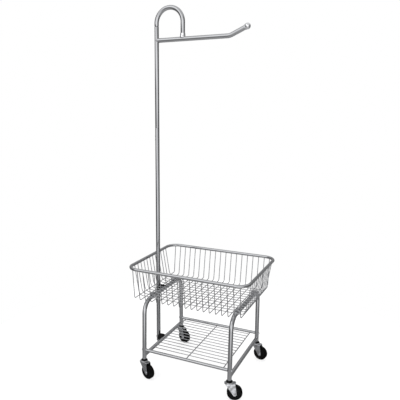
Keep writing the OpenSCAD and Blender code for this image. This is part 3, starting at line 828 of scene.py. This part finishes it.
# %% Joint screws
SCREW_R = 4.25 * MM
SCREW_H = 2.6 * MM
SLOT_W = 0.9 * MM
SLOT_L = 5.2 * MM
SLOT_DEEP = 1.6 * MM
screw_low, screw_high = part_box("pole_screws")
screws = []
for z in (screw_low.z + SCREW_R, screw_high.z - SCREW_R):
    seat = Vector((POLE_X - TUBE_R + 0.3 * MM, 0, z))
    head = make_object("screw_head", domed_head(seat, (-1, 0, 0), SCREW_R, SCREW_H, flange=0.2))
    slots = []
    for angle in (radians(20), radians(110)):
        u = Vector((0, cos(angle), sin(angle)))
        v = Vector((0, -sin(angle), cos(angle)))
        start = seat + Vector((-SCREW_H - 1 * MM, 0, 0))
        slots.append(prism(rectangle(SLOT_L, SLOT_W), start, u, v, SLOT_DEEP + 1 * MM))
    cut(head, slots)
    screws.append(head)
first = screws[0]
bpy.ops.object.select_all(action="DESELECT")
for head in screws:
    head.select_set(True)
bpy.context.view_layer.objects.active = first
bpy.ops.object.join()
first.name = "pole_joint_screws"
piece("pole_joint_screws", first, "cart", HARDWARE, ["pole_screws"])
print("screws at z = %.3f and %.3f" % (screw_low.z + SCREW_R, screw_high.z - SCREW_R))

# %% [markdown]
# ## Loop, arm and ball
#
# The top of the pole turns over in a loop and comes down on the arm inside a flared collar. The
# arm is welded to the pole, runs level and turns up at its tip, which ends in a ball so that
# hangers can't slide off.

# %% Loop
SEAM_H = 2.2 * MM
SEAM_DEEP = 1.2 * MM
ARM_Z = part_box("hanging_arm")[0].z + TUBE_R
loop_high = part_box("pole_loop")[1]
LOOP_R = 72 * MM
LOOP_TOP = loop_high.z - TUBE_R - BEND_SWELL
loop_foot_x = loop_high.x - TUBE_R - BEND_SWELL
loop_line = bent_line([(POLE_X, 0, UPPER_SEAM_Z), (POLE_X, 0, LOOP_TOP), (loop_foot_x, 0, LOOP_TOP),
                       (loop_foot_x, 0, ARM_Z + TUBE_R * 0.5)], LOOP_R, step=radians(4))
loop_line[0].z += SEAM_H
chrome_tube("pole_loop_tube", sweep(loop_line, TUBE_R, sides=48, round_end=0.8 * MM), "pole_loop")
# The spigot is near black: painted shade in the groove where the loop meets the upper tube
spigot = [(0, -1 * MM), (TUBE_R - SEAM_DEEP, -1 * MM), (TUBE_R - SEAM_DEEP, SEAM_H + 1 * MM),
          (0, SEAM_H + 1 * MM)]
piece("loop_seam_spigot", lathe(spigot, (POLE_X, 0, UPPER_SEAM_Z), (0, 0, 1), closed=False), "cart",
      SEAM_SHADE_STEEL)
print("loop top at z = %.3f" % (LOOP_TOP + TUBE_R))

# %% Arm
ARM_BEND_X = 119 * MM
TIP_SLOPE = radians(23.5)
TIP_L = 80.7 * MM
tip = Vector((ARM_BEND_X + TIP_L * cos(TIP_SLOPE), 0, ARM_Z + TIP_L * sin(TIP_SLOPE)))
arm_line = bent_line([(POLE_X + TUBE_R * 0.3, 0, ARM_Z), (ARM_BEND_X, 0, ARM_Z), tip], 60 * MM,
                     step=radians(3))
chrome_tube("hanging_arm_tube", sweep(arm_line, TUBE_R, sides=48), "hanging_arm")
beads.append(saddle_bead((POLE_X, 0, ARM_Z), (1, 0, 0), (0, 0, 1), TUBE_R * 0.985, TUBE_R, BEAD_R))
print("arm at z = %.4f, tip at x = %.4f" % (ARM_Z, tip.x))

# %% Collar and ball
COLLAR_R = 15 * MM
COLLAR_TOP_R = 12.5 * MM
collar_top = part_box("loop_collar")[1].z - ARM_Z
collar_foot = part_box("loop_collar")[0].z - ARM_Z
collar_outline = rounded([(TUBE_R * 0.97, collar_foot), (COLLAR_R, collar_foot),
                          (COLLAR_R, collar_foot + 3.2 * MM), (COLLAR_TOP_R + 0.6 * MM, collar_top * 0.62),
                          (COLLAR_TOP_R, collar_top), (TUBE_R * 0.97, collar_top)], 1.2 * MM,
                         steps=5, closed=True)
# The collar's chrome has a painted reflection: its tint is far brighter than the tubes'
piece("loop_collar_turning", lathe(collar_outline, (loop_foot_x, 0, ARM_Z), (0, 0, 1), sides=56),
      "cart", CHROME_PAINTED_BRIGHT, ["loop_collar"])

BALL_R = 15 * MM
BALL_OFF = 13 * MM
NECK_R = 12.5 * MM
ball_axis = Vector((cos(TIP_SLOPE), 0, sin(TIP_SLOPE)))
join_angle = asin(0.72)
ball = [(0, -6 * MM), (TUBE_R * 0.9, -6 * MM), (TUBE_R * 0.9, 0), (NECK_R, 0),
        (NECK_R, 2.6 * MM), (BALL_R * sin(join_angle), BALL_OFF - BALL_R * cos(join_angle) + 0.4 * MM)]
ball_outline = rounded(ball, 0.7 * MM)
ball_outline += [(BALL_R * sin(a), BALL_OFF - BALL_R * cos(a))
                 for a in [join_angle + (pi - join_angle) * k / 22 for k in range(1, 22)]]
ball_outline.append((0, BALL_OFF + BALL_R))
# The ball's chrome has the same painted reflection as the collar
piece("arm_ball_end", lathe(ball_outline, tip, ball_axis, sides=56, closed=False), "cart",
      CHROME_PAINTED_BRIGHT, ["arm_ball"])
print("collar top %.4f above the arm" % collar_top)

# %% [markdown]
# ## Spacers that hold the pole
#
# The pole stands just outside the left arch. At the bar and again at the side rail a black puck,
# hollowed to fit the pole on one face and the tube on the other, keeps it at its distance, and a
# bolt passes through all three. The puck is turned with rounded edges and the tubes are cut out,
# and so are open grooves in the upper one for the basket wires that cross it.

# %% Pucks
SPACER_R = 19 * MM
GROOVE_W = 2 * WIRE_R + 0.8 * MM
BORE_PLAY = 0.05 * MM
CUT_TALL = 60 * MM


def groove(x, y, low, size_x, size_y):
    """Block that cuts a groove, open at the top, down to the height low."""
    return prism(rectangle(size_x, size_y), (x, y, low), (1, 0, 0), (0, 1, 0), CUT_TALL)


def puck(name, node, other_r, grooves=()):
    low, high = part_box(node)
    centre_z = low.z + SPACER_R
    thick = high.x - low.x
    outline = rounded([(0, 0), (SPACER_R, 0), (SPACER_R, thick), (0, thick)], 1.5 * MM)
    made = make_object(name, lathe(outline, (low.x, 0, centre_z), (1, 0, 0), sides=72, closed=False))
    pole_bore = sweep([Vector((POLE_X, 0, centre_z - CUT_TALL)),
                       Vector((POLE_X, 0, centre_z + CUT_TALL))], TUBE_R + BORE_PLAY, sides=64)
    other_bore = sweep([Vector((-ARCH_X, -CUT_TALL, centre_z)),
                        Vector((-ARCH_X, CUT_TALL, centre_z))], other_r + BORE_PLAY, sides=64)
    cut(made, [pole_bore, other_bore, *grooves], round_edge=0.5 * MM)
    return piece(name, made, "cart", NYLON, [node])


wire_x = -(CROSS_COUNT - 1) / 2 * PITCH
wire_grooves = [groove(wire_x, 0, CROSS_Z - GROOVE_W / 2, GROOVE_W, CUT_TALL)]
for y in (-PITCH / 2, PITCH / 2):
    wire_grooves.append(groove(-ARCH_X, y, LONG_Z - GROOVE_W / 2, CUT_TALL, GROOVE_W))
puck("upper_spacer_puck", "upper_spacer", TUBE_R, wire_grooves)
puck("lower_spacer_puck", "lower_spacer", SIDE_RAIL_R)
print("two spacers hold the pole %.1f mm from the arch" % ((-ARCH_X - POLE_X) / MM))

# %% Bolts and nuts of the pole
POLE_BOLT_R = 3 * MM
POLE_HEAD_R = 6 * MM
POLE_HEAD_H = 4 * MM
NUT_W = 10 * MM
NUT_H = 5 * MM


def hex_nut(origin, axis, across_flats, height):
    """Hexagonal nut with its corners chamfered on the free face."""
    corner_r = across_flats / 2 / cos(pi / 6)
    axis = Vector(axis).normalized()
    side = axis.orthogonal().normalized()
    up = axis.cross(side)
    rings = []
    for r, h in ((corner_r, -1.5 * MM), (corner_r, height * 0.86), (across_flats * 0.47, height)):
        rings.append([Vector(origin) + axis * h + (side * cos(pi / 3 * k) + up * sin(pi / 3 * k)) * r
                      for k in range(6)])
    faces = [tuple(range(6))[::-1], tuple(range(12, 18))]
    for i in range(2):
        faces += [(i * 6 + k, i * 6 + (k + 1) % 6, i * 6 + 6 + (k + 1) % 6, i * 6 + 6 + k)
                  for k in range(6)]
    return Shape([p for ring in rings for p in ring], faces)


bolts, nuts = [], []
for z, tube_r in ((SIDE_RAIL.z, SIDE_RAIL_R), (BAR_Z, TUBE_R)):
    seat = Vector((POLE_X - TUBE_R + 0.5 * MM, 0, z))
    bolts.append(domed_head(seat, (-1, 0, 0), POLE_HEAD_R, POLE_HEAD_H))
    end = -ARCH_X + tube_r + NUT_H
    bolts.append(sweep([Vector((POLE_X, 0, z)), Vector((end, 0, z))], POLE_BOLT_R, sides=24,
                       round_end=0.6 * MM))
    nuts.append(hex_nut((-ARCH_X + tube_r, 0, z), (1, 0, 0), NUT_W, NUT_H * 0.9))
piece("pole_bolt_set", joined(bolts), "cart", HARDWARE, ["pole_bolts"])
piece("pole_nut_set", joined(nuts), "cart", HARDWARE, ["pole_nuts"])
print(len(nuts), "bolts hold the pole")

# %% [markdown]
# ## The casters
#
# Each caster hangs from a black socket in its leg. A domed race cap sits on top of a fork pressed
# from one sheet: a plate with two legs that taper to a round foot below the axle. The fork turns
# about the stem and the wheel turns in the fork, so each piece rides on its own body.

# %% Caster sizes
FORK_T = 2.5 * MM
FORK_FRONT = 25 * MM
FORK_TAIL = 6.2 * MM
FORK_INSET = 5 * MM
FORK_EYE_DROP = 4 * MM
FORK_EYE_R = 9 * MM
STEM_R = 5 * MM
RUNNING_PLAY = 0.05 * MM
AXLE_R = 4 * MM
joints = {j["name"]: j for j in frame["joints"]}
CORNERS = [name[: -len("_wheel_spin")] for name in joints if name.endswith("_wheel_spin")]


def caster_axes(corner):
    """Swivel point on the floor, wheel centre, trail direction and axle direction."""
    pivot = Vector(joints[corner + "_swivel"]["pos_m"])
    centre = Vector(joints[corner + "_wheel_spin"]["pos_m"])
    foot = Vector((pivot.x, pivot.y, 0))
    ahead = Vector((centre.x - pivot.x, centre.y - pivot.y, 0)).normalized()
    return foot, centre, ahead, Vector((-ahead.y, ahead.x, 0))


WHEEL_R = caster_axes(CORNERS[0])[1].z
TRAIL = (caster_axes(CORNERS[0])[1] - caster_axes(CORNERS[0])[0]).to_2d().length
TYRE_W = 24 * MM
FORK_GAP = TYRE_W + 3 * MM
plate_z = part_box(CORNERS[0] + "_fork")[1].z - FORK_T
print("wheel radius %.4f, trail %.4f, corners %s" % (WHEEL_R, TRAIL, CORNERS))

# %% [markdown]
# ## Pressing the fork
#
# The fork is drawn as it is made: a flat blank that is bent twice. A grid follows the bent blank
# from one round foot, up the leg, over the plate and down to the other. Each row across the blank is
# as wide as its outline there. A solidify modifier gives the sheet its thickness and a bevel its
# rolled edge.

# %% Fork blank
EYE_Z = WHEEL_R - FORK_EYE_DROP
PLATE_ENDS = {-1: -FORK_FRONT, 1: TRAIL + FORK_TAIL}
PRESS_BEND = 3.2 * MM
leg_s = FORK_GAP / 2 + FORK_T / 2
mid_z = plate_z + FORK_T / 2


def tangent(point, side):
    """Where a line from a shoulder of the blank touches the round foot, seen from the side."""
    eye = Vector((TRAIL, EYE_Z))
    v = Vector(point) - eye
    angle = atan2(v.y, v.x) + side * acos(FORK_EYE_R / v.length)
    return eye + Vector((cos(angle), sin(angle))) * FORK_EYE_R


edges = {}
for s in (-1, 1):
    shoulder = Vector((PLATE_ENDS[s] - s * FORK_INSET, plate_z))
    edges[s] = (shoulder, tangent(shoulder, -s))


def leg_edge(z, s):
    """How far along the trail the leg's edge on side s is at height z."""
    top, touch = edges[s]
    if z > touch.y:
        share = min((top.y - z) / (top.y - touch.y), 1)
        return top.x + (touch.x - top.x) * max(share, 0)
    off = min(abs(z - EYE_Z), FORK_EYE_R)
    return TRAIL + s * sqrt(FORK_EYE_R ** 2 - off ** 2)


def blank_rows():
    """Rows of the bent blank: (distance across, height, edge behind, edge ahead)."""
    half = []
    top = mid_z - PRESS_BEND
    for k in range(9):
        half.append((leg_s, EYE_Z - FORK_EYE_R * cos(pi / 2 * k / 8) * 0.999))
    for k in range(1, 10):
        half.append((leg_s, EYE_Z + (top - EYE_Z) * k / 9))
    for k in range(1, 6):
        a = pi / 2 * k / 5
        half.append((leg_s - PRESS_BEND * (1 - cos(a)), top + PRESS_BEND * sin(a)))
    for k in range(1, 7):
        half.append(((leg_s - PRESS_BEND) * (1 - k / 6), mid_z))
    rows = []
    for across_s, z in half:
        share = max(0, min((z - top) / PRESS_BEND, 1))
        crown = FORK_INSET * (across_s / leg_s) ** 2
        back, front = [leg_edge(z, s) * (1 - share) + (PLATE_ENDS[s] - s * crown) * share
                       for s in (-1, 1)]
        rows.append((across_s, z, back, front))
    return rows + [(-across_s, z, back, front) for across_s, z, back, front in rows[-2::-1]]


print(len(blank_rows()), "rows in the blank")

# %% Make one fork


def fork_pressing(name, foot, ahead, across):
    columns = 18
    points, faces = [], []
    rows = blank_rows()
    for s, z, back, front in rows:
        for k in range(columns + 1):
            t = (1 - cos(pi * k / columns)) / 2
            points.append(foot + across * s + ahead * (back + (front - back) * t)
                          + Vector((0, 0, z)))
    width = columns + 1
    for i in range(len(rows) - 1):
        faces += [(i * width + k, i * width + k + 1, (i + 1) * width + k + 1, (i + 1) * width + k)
                  for k in range(columns)]
    made = make_object(name, Shape(points, faces))
    sheet = made.modifiers.new("sheet", "SOLIDIFY")
    sheet.thickness = FORK_T
    sheet.offset = 0
    sheet.use_even_offset = True
    apply_modifiers(made)
    hole_r = STEM_R + RUNNING_PLAY * 3
    hole = sweep([foot + Vector((0, 0, plate_z - 0.01)), foot + Vector((0, 0, plate_z + 0.01))],
                 hole_r, sides=48)
    return cut(made, [hole], round_edge=0.35 * MM)


for corner in CORNERS:
    foot, centre, ahead, across = caster_axes(corner)
    fork = fork_pressing(corner + "_fork_pressing", foot, ahead, across)
    piece(fork.name, fork, corner + "_swivel", ZINC, [corner + "_fork"])
print("forks pressed:", len(CORNERS))

# %% [markdown]
# ## Socket, stem and race cap
#
# These three stay with the leg. The socket is a nylon plug with a flange, the stem a turned pin
# with a wide head under the fork, and the race cap a shallow pressed dome that covers the balls.

# %% Fixed caster parts
for corner in CORNERS:
    foot, centre, ahead, across = caster_axes(corner)
    low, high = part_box(corner + "_socket")
    flange_r = (high.x - low.x) / 2
    flange_h = FOOT_Z - low.z
    plug_r = TUBE_R * 0.8
    outline = rounded([(STEM_R, low.z), (flange_r, low.z), (flange_r, low.z + flange_h * 0.8),
                       (flange_r * 0.92, FOOT_Z), (plug_r, FOOT_Z), (plug_r, FOOT_Z + 20 * MM),
                       (STEM_R, FOOT_Z + 20 * MM)], 0.9 * MM, closed=True)
    piece(corner + "_socket_plug", lathe(outline, foot, (0, 0, 1), sides=56), "cart",
          NYLON, [corner + "_socket"])

    low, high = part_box(corner + "_stem")
    head_r = (high.x - low.x) / 2
    outline = rounded([(0, low.z), (head_r, low.z), (head_r, low.z + 3 * MM), (STEM_R, low.z + 3 * MM),
                       (STEM_R, high.z), (0, high.z)], 0.6 * MM)
    piece(corner + "_stem_pin", lathe(outline, foot, (0, 0, 1), closed=False), "cart",
          STEEL, [corner + "_stem"])

    low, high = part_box(corner + "_race_cap")
    cap_r = (high.x - low.x) / 2
    cap_h = high.z - low.z
    outline = [(STEM_R * 1.02, low.z), (cap_r, low.z), (cap_r, low.z + 0.3 * cap_h),
               (cap_r * 0.93, low.z + 0.48 * cap_h), (cap_r * 0.84, low.z + 0.80 * cap_h),
               (cap_r * 0.70, high.z), (STEM_R * 1.02, high.z)]
    piece(corner + "_race_cap_dome", lathe(rounded(outline, 1.1 * MM, closed=True), foot, (0, 0, 1),
                                           sides=64),
          "cart", ZINC, [corner + "_race_cap"])
print("sockets, stems and race caps in place")

# %% [markdown]
# ## Axle, wheel and tyre
#
# The wheel is a moulded core with a solid tyre. Turned outlines give the core its hub, web and
# raised ring, and the tyre its rounded shoulders. An attribute marks the tread, which picks up
# dust.

# %% Axles
AXLE_HEAD_R = 6.5 * MM
AXLE_HEAD_H = 3.5 * MM
AXLE_NUT_W = 13 * MM
AXLE_NUT_H = 5.2 * MM
for corner in CORNERS:
    foot, centre, ahead, across = caster_axes(corner)
    face = FORK_GAP / 2 + FORK_T
    shaft = sweep([centre - across * (face - 1 * MM), centre + across * (face + 4.6 * MM)],
                  AXLE_R, sides=32, round_end=0.8 * MM)
    head = domed_head(centre - across * face, -across, AXLE_HEAD_R, AXLE_HEAD_H)
    piece(corner + "_axle_bolt", shaft + head, corner + "_swivel", STEEL,
          [corner + "_axle"])
    nut = hex_nut(centre + across * face, across, AXLE_NUT_W, AXLE_NUT_H)
    piece(corner + "_axle_lock_nut", nut, corner + "_swivel", STEEL,
          [corner + "_axle_nut"])
print("axle directions follow the resting angle of each caster")

# %% Wheel cores and tyres
CORE_R = WHEEL_R - 10 * MM
TYRE_ROUND = 5 * MM
TREAD_DEEP = 3 * MM


def mirrored(half):
    """Outline whose second half mirrors the first across the wheel's middle plane."""
    return half + [(r, -h) for r, h in reversed(half)]


bore_r = AXLE_R + RUNNING_PLAY
hub_half = FORK_GAP / 2 - 0.5 * MM
# From the bore out: hub, dished web, raised ring, web again, and the rim that holds the tyre
core_outline = rounded(mirrored([
    (bore_r, hub_half), (7.6 * MM, hub_half), (9.4 * MM, hub_half - 2.2 * MM), (10.0 * MM, 5.4 * MM),
    (12.4 * MM, 4.2 * MM), (16.6 * MM, 4.2 * MM), (17.4 * MM, 5.2 * MM), (19.2 * MM, 5.2 * MM),
    (20.4 * MM, 4.6 * MM), (CORE_R - 4.8 * MM, 5.0 * MM), (CORE_R - 3.5 * MM, 10.1 * MM),
    (CORE_R + 0.4 * MM, 10.7 * MM)]), 0.7 * MM, steps=3, closed=True)
shoulder_arc = [(WHEEL_R - TYRE_ROUND + TYRE_ROUND * sin(a),
                 TYRE_W / 2 - TYRE_ROUND + TYRE_ROUND * cos(a))
                for a in [radians(90 * k / 8) for k in range(9)]]
tyre_outline = mirrored([(CORE_R, TYRE_W / 2 - 1.2 * MM), (CORE_R + 0.8 * MM, TYRE_W / 2 - 0.3 * MM),
                         (CORE_R + 2.2 * MM, TYRE_W / 2 - 0.3 * MM), (CORE_R + 2.6 * MM, TYRE_W / 2)]
                        + shoulder_arc)
for corner in CORNERS:
    foot, centre, ahead, across = caster_axes(corner)
    piece(corner + "_wheel_core_moulding", lathe(core_outline, centre, across, sides=96),
          corner + "_wheel", CORE, [corner + "_wheel_core"])
    tyre = piece(corner + "_tyre_ring", lathe(tyre_outline, centre, across, sides=120),
                 corner + "_wheel", RUBBER, [corner + "_tyre"])
    mark = tyre.data.attributes.new("tread", "FLOAT", "POINT")
    for vertex in tyre.data.vertices:
        off = vertex.co - centre
        radius = (off - across * off.dot(across)).length
        mark.data[vertex.index].value = max(0, min(1, (radius - WHEEL_R + TREAD_DEEP) / TREAD_DEEP))
print("wheels fitted")

# %% [markdown]
# ## Beads and inner parts
#
# All the tube welds are one piece of plated weld metal. The sleeves and plugs inside the tubes
# are hardly ever seen, so the exact parts stay and only get a finish.

# %% Finish the beads and the inner parts
piece("tube_weld_beads", joined(beads), "cart", WELD)
INNER = {"rim_joiner": HARDWARE, "pole_sleeve": HARDWARE, "shelf_rail_plugs": NYLON}
for node, material in INNER.items():
    frame["nodes"][node].data.materials.clear()
    frame["nodes"][node].data.materials.append(material)
print(len(beads), "beads;", len(INNER), "inner parts keep their exact shape")

# %% [markdown]
# ## Floor and light
#
# The black and matt parts need light that falls on them, and the chrome needs something to mirror.
# Four soft boxes do the first and are hidden from mirror-like rays. The floor glows faintly, like
# a light table, so that it stays pale and even without being over-lit.

# %% Floor
FLOOR_R = 1.4
FLOOR_T = 0.02


def floor_material():
    tree = Tree("pale_floor")
    cloudy = tree.noise(1.3, 3.0)
    return tree.finish(base_color=tree.mix(cloudy, (0.26, 0.26, 0.26), (0.24, 0.24, 0.24)),
                       roughness=0.75 + cloudy * 0.1, specular_ior_level=0.0,
                       emission_color=(1, 1, 1, 1), emission_strength=0.76)


floor_disc = lathe([(0, -FLOOR_T), (FLOOR_R, -FLOOR_T), (FLOOR_R, 0), (0, 0)], (0, 0, 0), (0, 0, 1),
                   sides=96, closed=False)
floor = make_object("studio_floor", floor_disc)
floor.data.materials.append(floor_material())
floor.visible_glossy = False
print("floor radius", FLOOR_R)

# %% Studio light


def soft_box(name, place, aim, size, power):
    """Rectangular lamp that lights the matt things but isn't mirrored in the chrome."""
    data = bpy.data.lights.new(name, "AREA")
    data.shape = "RECTANGLE"
    data.size, data.size_y = size
    data.energy = power
    made = bpy.data.objects.new(name, data)
    made.visible_glossy = False
    bpy.context.scene.collection.objects.link(made)
    made.location = place
    made.rotation_euler = (Vector(aim) - Vector(place)).to_track_quat("-Z", "Y").to_euler()
    return made


soft_box("key_box", (-2.2, -3.0, 3.6), (0, 0, 0.7), (2.6, 2.6), 60)
soft_box("fill_box", (3.4, -1.6, 2.4), (0, 0, 0.8), (2.0, 2.4), 22)
soft_box("back_box", (-0.6, 3.2, 3.2), (0, 0, 0.5), (2.4, 2.4), 34)
soft_box("top_box", (0, 0, 4.4), (0, 0, 0), (3.4, 3.4), 120)
print("four soft boxes")

# %% [markdown]
# ## The room in the chrome
#
# A chrome object shows its surroundings more than itself. The surroundings are the world: dim
# walls, a slightly lighter floor and ceiling, and one soft light. Upright tubes mirror the walls
# and level ones the ceiling, so each gets bright and dark bands. The camera sees white instead.

# %% Shades of the room
BACKDROP_WAY = Vector((-sin(radians(25.6)), cos(radians(25.6)), 0))
# Shades round the walls, from behind the viewer (-1) to the backdrop (1)
WALLS = [(-1.0, 0.72), (-0.91, 0.52), (-0.64, 0.12), (0.1, 0.08), (0.55, 0.12), (0.9, 0.17)]
# Shades from the floor (-1) to the ceiling (1)
LEVELS = [(-1.0, 0.26), (-0.5, 0.28), (0.0, 0.28), (0.5, 0.31), (1.0, 0.36)]
# How far the floor and the ceiling take over from the walls
STEEP = [(-0.95, 1.0), (-0.45, 0.0), (0.40, 0.0), (0.65, 1.0)]
ROOM_STRENGTH = 2.2
# A large soft light behind the viewer, left of the cart's front and above it
KEY_WAY = Vector((-0.38, -0.80, 0.46)).normalized()
KEY = [(0.84, 0.0), (0.97, 0.46)]
print("shades round the walls:", len(WALLS))

# %% Nodes for the room
world = bpy.data.worlds.new("studio_room")
bpy.context.scene.world = world
world.use_nodes = True
nodes, links = world.node_tree.nodes, world.node_tree.links


def shade_ramp(value, stops):
    """Shades that change smoothly with a value between -1 and 1."""
    scaled = nodes.new("ShaderNodeMapRange")
    scaled.inputs["From Min"].default_value = -1
    links.new(value, scaled.inputs["Value"])
    ramp = nodes.new("ShaderNodeValToRGB")
    ramp.color_ramp.interpolation = "EASE"
    while len(ramp.color_ramp.elements) < len(stops):
        ramp.color_ramp.elements.new(0.5)
    for stop, (place, shade) in zip(ramp.color_ramp.elements, stops):
        stop.position = (place + 1) / 2
        stop.color = (shade, shade, shade * 1.01, 1)
    links.new(scaled.outputs[0], ramp.inputs[0])
    return ramp.outputs["Color"]


def blend(share, a, b, kind="MIX"):
    """Mix two colours by a share, which is a number or another output."""
    made = nodes.new("ShaderNodeMix")
    made.data_type = "RGBA"
    made.blend_type = kind
    if isinstance(share, (int, float)):
        made.inputs["Factor"].default_value = share
    else:
        links.new(share, made.inputs["Factor"])
    links.new(a, made.inputs["A"])
    links.new(b, made.inputs["B"])
    return made.outputs[2]


direction = nodes.new("ShaderNodeTexCoord").outputs["Generated"]
split = nodes.new("ShaderNodeSeparateXYZ")
links.new(direction, split.inputs[0])
height = split.outputs["Z"]


def towards(way):
    """How nearly a direction points one way: 1 along it, -1 against it."""
    facing = nodes.new("ShaderNodeVectorMath")
    facing.operation = "DOT_PRODUCT"
    facing.inputs[1].default_value = way
    links.new(direction, facing.inputs[0])
    return facing.outputs["Value"]


walls = shade_ramp(towards(BACKDROP_WAY), WALLS)
key = shade_ramp(towards(KEY_WAY), KEY)
levels = shade_ramp(height, LEVELS)
steep = shade_ramp(height, STEEP)
print("world nodes:", len(nodes))

# %% What the camera sees and what the chrome sees
room = nodes.new("ShaderNodeBackground")
links.new(blend(1, blend(steep, walls, levels), key, "ADD"), room.inputs["Color"])
room.inputs["Strength"].default_value = ROOM_STRENGTH
backdrop = nodes["Background"]
backdrop.inputs["Color"].default_value = (1, 1, 1, 1)
path = nodes.new("ShaderNodeLightPath")
choose = nodes.new("ShaderNodeMixShader")
links.new(path.outputs["Is Camera Ray"], choose.inputs[0])
links.new(room.outputs[0], choose.inputs[1])
links.new(backdrop.outputs[0], choose.inputs[2])
links.new(choose.outputs[0], nodes["World Output"].inputs["Surface"])
bpy.context.scene.view_settings.view_transform = "Standard"
print("room strength", ROOM_STRENGTH)

# %% [markdown]
# ## The camera
#
# The camera stands to the right of the cart's front at about head height and looks slightly down,
# so the basket shows its floor and the shelf its wires. A small shift frames the tall pole without
# tilting the camera further, which would make the uprights converge more.

# %% Camera
AZIMUTH = radians(25.61)
ELEVATION = radians(11.016)
TILT = radians(0.175)
SENSOR = 36.0
LENS = 43.02
SHIFT = (0.0469, 0.0137)
CAMERA_PLACE = (0.9383, -2.2338, 1.3755)
camera_data = bpy.data.cameras.new("view")
camera_data.sensor_width = SENSOR
camera_data.lens = LENS
camera_data.shift_x, camera_data.shift_y = SHIFT
camera = bpy.data.objects.new("view", camera_data)
bpy.context.scene.collection.objects.link(camera)
camera.location = CAMERA_PLACE
ahead = Vector((-sin(AZIMUTH) * cos(ELEVATION), cos(AZIMUTH) * cos(ELEVATION), -sin(ELEVATION)))
camera.rotation_euler = ahead.to_track_quat("-Z", "Y").to_euler()
camera.rotation_euler.rotate_axis("Z", TILT)
bpy.context.scene.camera = camera
print("camera at", tuple(round(v, 3) for v in camera.location))
